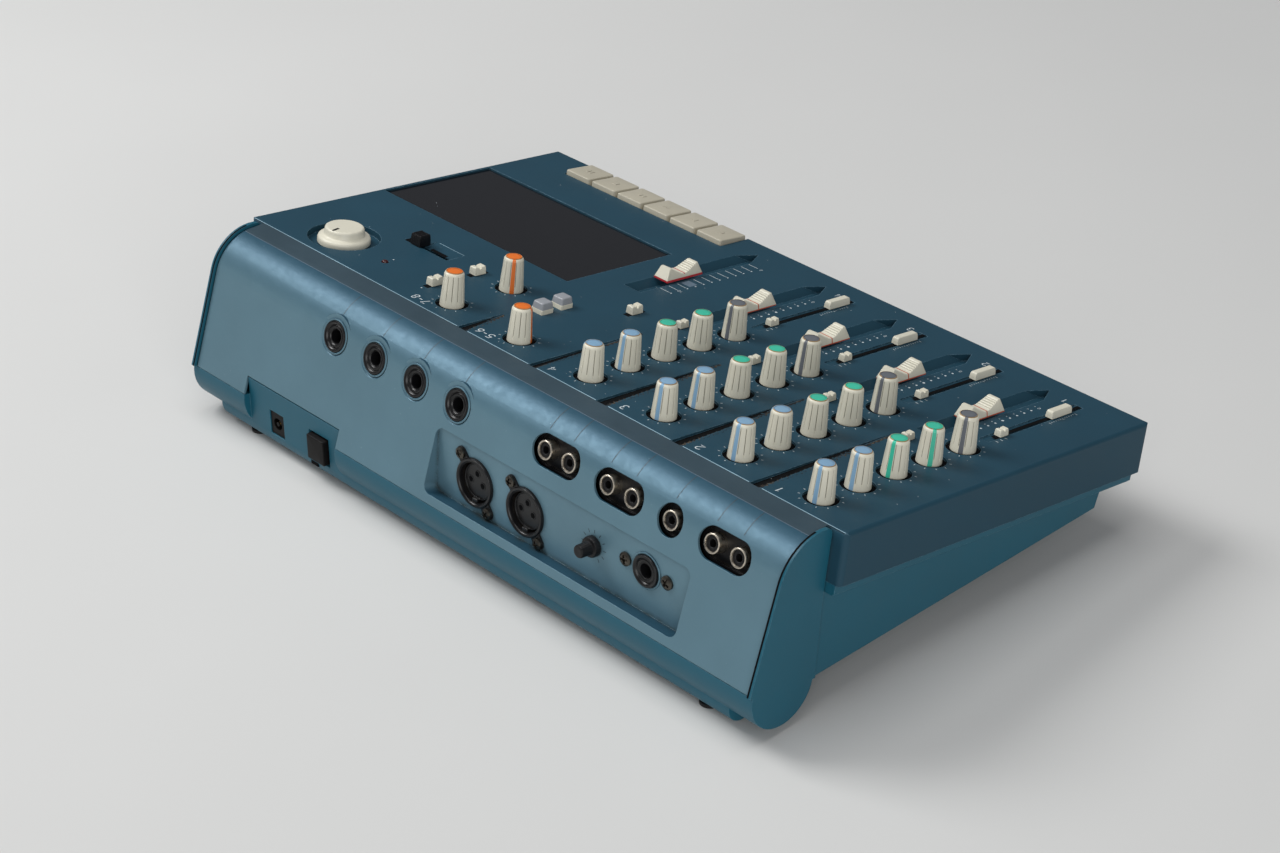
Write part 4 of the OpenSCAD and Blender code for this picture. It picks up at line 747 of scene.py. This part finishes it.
jackSet = {
    "places": [(-90.5 + 27.07 * i, 46.5) for i in range(4)],  # on the rear face
    "guitar": (109.4, -11.5),  # in the recess
    "ring": [(6.95, -0.6), (6.95, 1.0), (6.75, 1.35), (6.3, 1.5), (5.7, 1.3), (5.3, 0.8), (5.1, 0.5), (4.8, 0.7),
             (4.4, 0.85), (3.9, 0.7), (3.4, 0.2), (3.25, -0.3), (3.2, -14)],
    "collar": [(8.0, -0.3), (7.95, 0.45), (7.6, 0.65), (7.15, 0.5), (6.9, 0)],
    "seats": (-1.1, -0.45),  # of ring and collar, in their dishes
}
pinSet = {
    "places": [(x, 47.9) for x in (44.4, 58.5, 81.15, 95.25, 117.2, 139.85, 153.95)],
    "sleeve": [(4.2, -5.0), (4.2, -0.75), (4.08, -0.45), (3.8, -0.3), (3.45, -0.4), (3.3, -0.7), (3.28, -1.3)],
    "fill": [(3.28, -1.12), (2.5, -1.1), (1.9, -1.12), (1.72, -1.3), (1.7, -4.0)],
}
micSet = {
    "places": [(7.1, -16.6), (38.4, -16.6)],
    "flange": [(10.9, 0.3), (10.95, 1.1), (10.7, 1.5), (10.2, 1.65), (9.7, 1.5), (9.35, 1.0), (9.15, 0.2),
               (9.12, -4)],
    "insert": [(8.25, -3.0), (8.25, -1.2), (8.1, -0.95), (7.8, -0.9), (7.55, -1.1), (7.5, -1.45), (7.3, -1.48)],
    "face": [(7.5, -1.42), (0, -1.42)],
    "key": -8.6, "keyBlock": (3.4, 2.2, -3, 0.3, 0.4, 0.3),  # place below the middle, then its block
    "holes": [(-4.5, -0.4), (-0.7, 3.3), (2.9, -1.0)],
    "holeRim": [(1.75, -1.42), (1.7, -1.25), (1.3, -1.25), (1.25, -1.36)],
    "holeFloor": [(1.27, -1.36), (0, -1.36)],
}
screwSet = {
    "ear": (-9, 10.6, 0.9), "earRadius": 2.5, "earTurns": (25, 56, 87, 118),  # from a microphone socket's middle
    "side": 11.8, "sideRadius": 3.0, "sideTurns": (10, 60),  # beside the guitar jack
    "height": 1.5, "fall": 0.45, "foot": -0.3,
    "cross": (0.17, 0.6, 0.6),  # half width and reach in radii, depth in heights
}
trimKnobSet = {
    "place": (79, -14), "ticks": (5.6, 7.2), "knurl": 0.035,
    "profile": [(0, 0.3), (4.5, 0.3), (4.5, 2.2), (4.2, 2.8), (3.1, 3.1), (2.95, 3.5), (2.85, 8.0), (2.6, 8.5),
                (2.1, 8.7), (1.2, 8.6), (0, 8.6)],
}
inletSet = {
    "plane": 40.3, "pin": (121.2, 66.6), "mark": (95, 75.3), "button": (90.7, 65.6),
    "pinProfile": [(1.05, -8), (1.05, -1.2), (0.8, -0.9), (0.5, -0.9), (0.45, -2.5)],
    "notchShadeBox": (-2.5, 2.5, -0.9, 0.9, -0.5, 0.03),
    "cap": (12, 12.5, -8, 2.5, 0.6, 0.5, 0.15), "dish": -0.25,
}


def screwHead(s, r, turn):
    # domed head, whose height falls with the cube of the distance from its middle, with a cross-shaped recess
    rad = np.concatenate([[r, r], np.linspace(r * 0.97, 0, 16)])
    a = np.linspace(0, 2 * np.pi, 72, endpoint=False)
    x, y = np.outer(rad, np.cos(a)), np.outer(rad, np.sin(a))
    z = s["height"] * (1 - s["fall"] * (np.hypot(x, y) / r) ** 3)
    wide, reach, deep = s["cross"]
    cross = (np.minimum(np.abs(x), np.abs(y)) < wide * r) & (np.maximum(np.abs(x), np.abs(y)) < reach * r)
    z = z - cross * deep * s["height"]
    z[0] = s["foot"]
    pts = np.stack([x, y, z], -1).reshape(-1, 3)
    faces = gridFaces(len(rad), 72, True)
    return moved((pts, faces, np.zeros(len(faces), int)), turn=turn)


def makeJacks(s):
    ringSeat, collarSeat = s["seats"]
    ring, collar = turned(s["ring"], 64), turned(s["collar"], 64)
    fixedPiece("phoneJackRings", [moved(ring, *place, ringSeat) for place in s["places"]], onFace, [jackNylon])
    fixedPiece("guitarJackRing", [moved(ring, *s["guitar"])], onRecess, [jackNylon])
    fixedPiece("phoneJackCollars", [moved(collar, *place, collarSeat) for place in s["places"]], onFace, [panelPaint])
    fixedPiece("guitarJackCollar", [moved(collar, *s["guitar"])], onRecess, [panelPaint])


def makePinJacks(s):
    fixedPiece("pinJackSleeves", [moved(turned(s["sleeve"]), *place) for place in s["places"]], onFace, [nickel])
    fixedPiece("pinJackFills", [moved(turned(s["fill"]), *place) for place in s["places"]], onFace, [blackAbs])


def makeMicSockets(s):
    parts = []
    for x, y in s["places"]:
        parts += [moved(turned(s["flange"], 72), x, y), moved(turned(s["insert"], 72), x, y)]
        parts.append(moved(blockShape(*s["keyBlock"]), x, y + s["key"]))
        parts.append(moved(turned(s["face"], 48), x, y))
        for hx, hy in s["holes"]:
            parts.append(moved(turned(s["holeRim"], 24), x + hx, y + hy))
            # the holes' shallow floors are near-black painted shade
            parts.append(moved(turned(s["holeFloor"], 24, 1), x + hx, y + hy))
    fixedPiece("micSocketRims", parts, onRecess, [jackNylon, shadeBlack])


def makeScrews(s):
    ex, ey, ez = s["ear"]
    ears = [(x + ex * side, y + ey * side, ez) for x, y in micSet["places"] for side in (1, -1)]
    heads = [moved(screwHead(s, s["earRadius"], turn), *ear) for turn, ear in zip(s["earTurns"], ears)]
    x, y = jackSet["guitar"]
    heads += [moved(screwHead(s, s["sideRadius"], turn), x + side * s["side"], y)
              for turn, side in zip(s["sideTurns"], (-1, 1))]
    makePiece("panScrews", joined(heads), onRecess, [screwZinc], "root", ("screws",))


def makeTrimKnob(s):
    # every fifth line down its side is cut in, which knurls it
    pts, faces, slots = turned(s["profile"], 90)
    line = np.arange(len(pts)) % 90
    swell = np.where((pts[:, 2] > 0.5) & (pts[:, 2] < 8.4), 1 - s["knurl"] * (line % 5 == 0), 1.0)
    pts = pts * np.column_stack([swell, swell, np.ones(len(pts))])
    makePiece("micTrimCap", moved((pts, faces, slots), *s["place"]), onRecess, [blackAbs], "mic_trim_knob",
              ("mic_trim_knob",))


def makeInlet(s):
    onInlet = frameMatrix(onDeck @ Vector((0, s["plane"], 0)), (0, 1, 0))
    fixedPiece("inletPin", [moved(turned(s["pinProfile"], 24), *s["pin"])], onInlet, [brassTurned])
    # painted shade of a small notch below the power button
    fixedPiece("inletNotchShade", [moved(box(*s["notchShadeBox"]), *s["mark"])], onInlet, [shadeBlack])
    cap = blockShape(*s["cap"], crown=s["dish"])
    makePiece("powerButtonCap", moved(cap, *s["button"]), onInlet, [socketBlack], "power_button", ("power_button",))


makeJacks(jackSet)
makePinJacks(pinSet)
makeMicSockets(micSet)
makeScrews(screwSet)
makeTrimKnob(trimKnobSet)
makeInlet(inletSet)
print("connectors made")

# prints

figures = {  # strokes in a box one wide and 1.6 high
    "0": [arcPoints(0, 0, 1, 0, 360, 20) * (0.45, 0.8) + (0.5, 0.8)],
    "1": [[(0.2, 1.25), (0.55, 1.6), (0.55, 0)]],
    "2": [np.vstack([arcPoints(0.5, 1.12, 0.46, 165, -35, 12), [(0.05, 0), (1, 0)]])],
    "3": [arcPoints(0.45, 1.2, 0.4, 150, -90, 12), arcPoints(0.45, 0.42, 0.43, 90, -150, 12)],
    "4": [[(0.75, 0), (0.75, 1.6), (0, 0.5), (1, 0.5)]],
    "5": [np.vstack([[(0.95, 1.6), (0.15, 1.6), (0.1, 0.85)], arcPoints(0.48, 0.5, 0.5, 125, -150, 12)])],
    "6": [arcPoints(0.5, 0.48, 0.46, 0, 360, 18), [(0.06, 0.6), (0.25, 1.15), (0.75, 1.6)]],
    "7": [[(0, 1.6), (1, 1.6), (0.35, 0)]],
    "8": [arcPoints(0.5, 1.2, 0.37, 0, 360, 16), arcPoints(0.5, 0.42, 0.43, 0, 360, 16)],
    "-": [[(0.15, 0.75), (0.85, 0.75)]],
}


def figureStrips(text, x, y, size):
    # the strokes of each figure, scaled up and carried to its place in the row
    out = []
    for k, ch in enumerate(text):
        for stroke in figures[ch]:
            pts = np.asarray(stroke, float) * size + (x + k * size * 1.35, y)
            out.append(strip(pts, size * 0.2))
    return out


def knobTicks(x, y, r0=8.4, r1=9.3):
    # eleven rays between two radii, over the 300 degrees that the knob turns
    a = np.radians(np.linspace(240, -60, 11))
    d = np.stack([np.cos(a), np.sin(a)], -1)
    return [strip(np.array([v * r0, v * r1]) + (x, y), 0.3) for v in d]


markSet = {
    "numbers": (-7.6, 2.6), "footNumbers": (-177.0, 2.2),  # row and height
    "besideKnob": 12.6, "besideFader": -11.6, "pairs": (("5-6", 24.0), ("7-8", 66.5)),
    "faderScale": (-111.5, 4.75, 11), "trimScale": (-151.0, 1.45, 13),  # first row, step and count
    "inputScale": (-116.6, 2.9, 3), "masterScale": (-108.6, 5.2, 12),
    "faderTick": (-7.3, -8.0, 0.28), "trimTick": (-3.9, -4.6, 0.25),  # from and to across, and width
    "trimLong": (-3.9, -5.2, 0.25), "inputTick": (-3.4, -4.8, 0.3), "masterTick": (27.3, 21.6, 0.3),
    "faderFigure": -10.4, "masterFigure": 18.9, "figure": (0.8, 1.0),  # across, drop and height
    "faderDot": -9.5, "masterDot": 20.6, "radii": (0.5, 0.62, 0.42, 0.4),
    "dots": [(112.3, -24.0), (81, -14.0), (81, -38.5)],
    "patch": ([(24.4, -121.4), (24.4, -126.4)], 5.6, 0.02),  # behind the master scale: line, width and lift
}
bandSet = {  # angles round the top of the metal panel
    "half": 175.4, "flat": 7.8, "band": (90, 82.5), "edge": (82.6, 81.9), "leaders": (81.5, 47), "leader": 0.15,
    "lines": (90.5, 63.4, 36.2, 9.3, -42.8, -57, -79, -93.5, -116, -138.4, -152.5),
}
speckAndHighlightSet = {
    "edges": [(-184, -139.9), (-133.0, -96.3), (-89.3, -53.2), (-45.7, -9.9), (-4.5, 34.1), (41, 183)],
    "edge": (-0.25, 0.5), "slot": ([(100.3, -55.4), (117.5, -55.4)], 0.3), "lift": 0.02,
    "specks": 70, "radius": (0.08, 0.2), "area": ((-180, -185), (180, -4)),
}
seamSet = [  # place across, half width, lift and upper end of the line beside a cheek
    (176.3, 0.33, -0.2, 100),
    (177.05, 0.45, 1.43, 88),
]


def scaleRows(first, step, count):
    # places of a scale's marks, evenly down from the first
    return [first - step * k for k in range(count)]


def tick(x, y, start, end, width):
    # a short line across, from start to end beside x
    return strip([(x + start, y), (x + end, y)], width)


def panelMarks(s):
    # ticks round the knobs, channel numbers, fader and trim scales, and the master fader's own scale
    white = [mark for spot in knobSpots for mark in knobTicks(*spot)]
    drop, high = s["figure"]
    small, large, master, lone = s["radii"]
    for c, (x, line) in enumerate(zip(knobLines, faderLines)):
        white += figureStrips(str(c + 1), x + s["besideKnob"], *s["numbers"])
        white += figureStrips(str(c + 1), line + s["besideFader"], *s["footNumbers"])
        for k, y in enumerate(scaleRows(*s["faderScale"])):
            white.append(tick(line, y, *s["faderTick"]))
            if k in (0, 10):
                white += figureStrips("0" if k else "10", line + s["faderFigure"], y - drop, high)
            else:
                white.append(dot(line + s["faderDot"], y, large if k == 5 else small))
        for k, y in enumerate(scaleRows(*s["trimScale"])):
            white.append(tick(x, y, *s["trimTick" if k % 6 else "trimLong"]))
        white += [tick(x, y, *s["inputTick"]) for y in scaleRows(*s["inputScale"])]
    for text, x in s["pairs"]:
        white += figureStrips(text, x, *s["numbers"])
    for k, y in enumerate(scaleRows(*s["masterScale"])):
        if k != 3:
            white.append(tick(0, y, *s["masterTick"]))
        if k in (1, 11):
            white += figureStrips("10" if k == 1 else "0", s["masterFigure"], y - drop, high)
        else:
            white.append(dot(s["masterDot"], y, master))
    return white + [dot(x, y, lone) for x, y in s["dots"]]


def makeBand(s):
    # a darker printed band along the top of the metal panel, with lines that lead down to the jacks
    half = s["half"]
    band = [arcSheet(-half, half, *s["band"], 0.03), moved(strip([(-half, 0), (half, 0)], s["flat"], 0.18), 0, 4.2)]
    fixedPiece("topPrintBand", band, onDeck, [printBand])
    fixedPiece("bandEdge", [arcSheet(-half, half, *s["edge"], 0.05)], onDeck, [printGrey])
    leaders = [arcSheet(x - s["leader"], x + s["leader"], *s["leaders"]) for x in s["lines"]]
    fixedPiece("arcLeaders", leaders, onDeck, [leaderDark])


def makeSpecksAndHighlights(s):
    # specks scattered evenly over the cover, and painted highlight lines along its rear edges and by the black slide
    chance = np.random.default_rng(7)
    chips = [dot(*chance.uniform(*s["area"]), chance.uniform(*s["radius"]), s["lift"]) for _ in range(s["specks"])]
    fixedPiece("coverSpecks", chips, onPanel, [printWhite])
    y, wide = s["edge"]
    sheen = [strip(*s["slot"], s["lift"])] + [strip([(a, y), (b, y)], wide, s["lift"]) for a, b in s["edges"]]
    fixedPiece("paintedEdgeHighlight", sheen, onPanel, [paintedEdgeHighlight])


def makeSeamShades(s):
    # painted shade of the gaps beside both cheeks, round the bend and down the rear face
    lines = [(side * x, half, lift, top) for x, half, lift, top in s for side in (1, -1)]
    arcs = [arcSheet(x - half, x + half, top, 19.5, lift, 30) for x, half, lift, top in lines]
    fixedPiece("cheekSeamShades", arcs, onDeck, [shadeBlack])
    straights = [strip([(x, 0), (x, 47)], 2 * half, lift) for x, half, lift, _ in lines]
    fixedPiece("cheekFaceSeamShades", straights, onFace, [shadeBlack])


fixedPiece("panelPrints", panelMarks(markSet), onPanel, [printWhite])
fixedPiece("scalePatch", [strip(*markSet["patch"])], onPanel, [printGrey])
makeBand(bandSet)
makeSpecksAndHighlights(speckAndHighlightSet)
makeSeamShades(seamSet)
trimTicks = knobTicks(*trimKnobSet["place"], *trimKnobSet["ticks"])
fixedPiece("trimTicks", trimTicks, onRecess, [printDark])
print("prints made")

# power lamp, and the dust and painted shade that lie in the steps

powerLampSet = {
    "place": (112.3, -19.1),
    "profile": [(1.5, -1.5), (1.5, 0.2), (1.3, 0.55), (0.9, 0.8), (0.4, 0.93), (0, 0.95)],
}
stepSet = {
    "deep": 1.4, "shade": 0.72, "dust": 1.0, "lift": 0.04, "points": 90, "start": -0.3, "reach": 0.95,
    "width": (1.5, 0.85), "limit": 0.97, "clear": 0.02,  # least and added width, the most of the step, gap to the wall
    "waves": ((1, 2.3, 0), (0.6, 5.9, 1), (0.5, 11.3, 2)),  # height, pitch and start of each wave of the edge
    "places": [(40.6, 6.1, 27), (-4.8, 4.7, 68), (-46, 6.8, 75), (-89.6, 6.3, 81), (-133.3, 6.2, 87)],
}
shadeSet = {
    "ring": (7.35, 5.0, -1.12),  # radii and height round a knob
    "input": (4.6, -3.4, 3.2),  # up and down from the row of switches, and width
    "trim": (0.45, -176, 1.9), "effect": (-81.6, -89.0, 3.0), "mode": (5.4, 3.4),
    "slots": [(117.5, 128.5, -46.5, 5.0), (103.0, 113.5, -47.2, 2.4)],
}


def stepBand(s, x, width, length, near, far, rough, slot):
    # lies on the step's ramp, whose depth falls from the wall to nothing across it and along it
    n = s["points"]
    y = np.linspace(s["start"], -length * s["reach"], n)
    left = 1 + y / length
    wave = 1 + rough * sum(height * np.sin(y * pitch + start) for height, pitch, start in s["waves"]) / 2
    least, added = s["width"]
    wide = np.minimum(width, least + added * width * left)
    rows = []
    for share in (near, far):
        across = np.minimum(share * wide * (wave if share == far else 1), width * s["limit"])
        height = s["deep"] * (across / width - left) + s["lift"]
        rows.append(np.column_stack([x - across - s["clear"], y, height]))
    rows[1][:, 2] = np.minimum(rows[1][:, 2], s["lift"])
    k = np.arange(n - 1)
    return np.vstack(rows), np.stack([k + 1, k + n + 1, k + n, k], -1), np.full(n - 1, slot)


def makeStepShadeAndDust(s):
    # a band of painted shade at each wall, and the dust beyond it, itself over painted shade
    dust = []
    for place in s["places"]:  # the wall's line, the step's width and its length
        # the near band is painted shade in the step's foot, the far one dust over painted shade
        dust.append(stepBand(s, *place, 0, s["shade"], 0.15, 0))
        dust.append(stepBand(s, *place, s["shade"] * 0.8, s["dust"], 0.35, 1))
    fixedPiece("stepShadeAndDust", dust, onPanel, [shadeBlack, stepDustOverShade])


fixedPiece("powerLamp", [moved(turned(powerLampSet["profile"], 24), *powerLampSet["place"])], onPanel, [lampRed])
makeStepShadeAndDust(stepSet)


def makeShades(s):
    # the darkness seen inside slots and round the knobs
    outer, inner, deep = s["ring"]
    parts = [moved(turned([[outer, deep], [inner, deep]], 48), *spot) for spot in knobSpots]
    for x, line in zip(inputLines, faderLines):
        up, down, wide = s["input"]
        parts.append(strip([(x, inputRow + up), (x, inputRow + down)], wide, 0.02))
        side, end, wide = s["trim"]
        parts.append(strip([(x + side, inputRow), (x + side, end)], wide, 0.021))
        start, end, wide = s["effect"]
        parts.append(strip([(line, start), (line, end)], wide, 0.02))
    reach, wide = s["mode"]
    parts += [strip([(x, y + reach), (x, y - reach)], wide, 0.02) for x, y in modePlaces]
    parts += [strip([(start, y), (end, y)], wide, 0.02) for start, end, y, wide in s["slots"]]
    fixedPiece("openingShades", parts, onPanel, [shadeBlack])


makeShades(shadeSet)
print("lamp, dust and shades made")

# floor and light

stageSet = {"floor": "#cfcfcd", "patches": "#d6d6d4", "size": 6.0, "world": (0.9, 0.93, 1.0, 1), "strength": 0.16}


def makeStage(s):
    mesh = bpy.data.meshes.new("floor")
    h = s["size"] / 2
    mesh.from_pydata([(-h, -h, 0), (h, -h, 0), (h, h, 0), (-h, h, 0)], [], [(0, 1, 2, 3)])
    m, t, shader, place = startMaterial("floorPaper")
    uneven = addNode(t, "ShaderNodeTexNoise", {"Vector": place, "Scale": 3, "Detail": 3, "Roughness": 0.6})
    layColours(t, shader, linear(s["floor"]), [(uneven.outputs[0], linear(s["patches"]))])
    setInputs(t, shader, {"Roughness": 0.9})
    mesh.materials.append(m)
    floor = bpy.data.objects.new("floor", mesh)
    bpy.context.scene.collection.objects.link(floor)


lampSet = [  # name, place, aim, size in metres, power in watts
    ("keyLamp", (1.25, 0.55, 1.55), (0, 0, 0.05), 0.9, 25),
    ("fillLamp", (-1.7, 1.3, 0.8), (0, 0, 0.05), 1.6, 23),
    ("topLamp", (0.0, 0.1, 2.2), (0, 0, 0.05), 1.4, 16),
]


def makeLight(s):
    for name, place, aim, size, power in lampSet:
        data = bpy.data.lights.new(name, "AREA")
        data.size = size
        data.energy = power
        lamp = bpy.data.objects.new(name, data)
        lamp.location = place
        lamp.rotation_euler = (Vector(aim) - Vector(place)).to_track_quat("-Z", "Y").to_euler()
        bpy.context.scene.collection.objects.link(lamp)
    world = bpy.data.worlds.new("studio")
    world.use_nodes = True
    world.node_tree.nodes["Background"].inputs[0].default_value = s["world"]
    world.node_tree.nodes["Background"].inputs[1].default_value = s["strength"]
    bpy.context.scene.world = world
    bpy.context.scene.view_settings.view_transform = "Standard"


makeStage(stageSet)
makeLight(stageSet)
print("stage and lamps made")
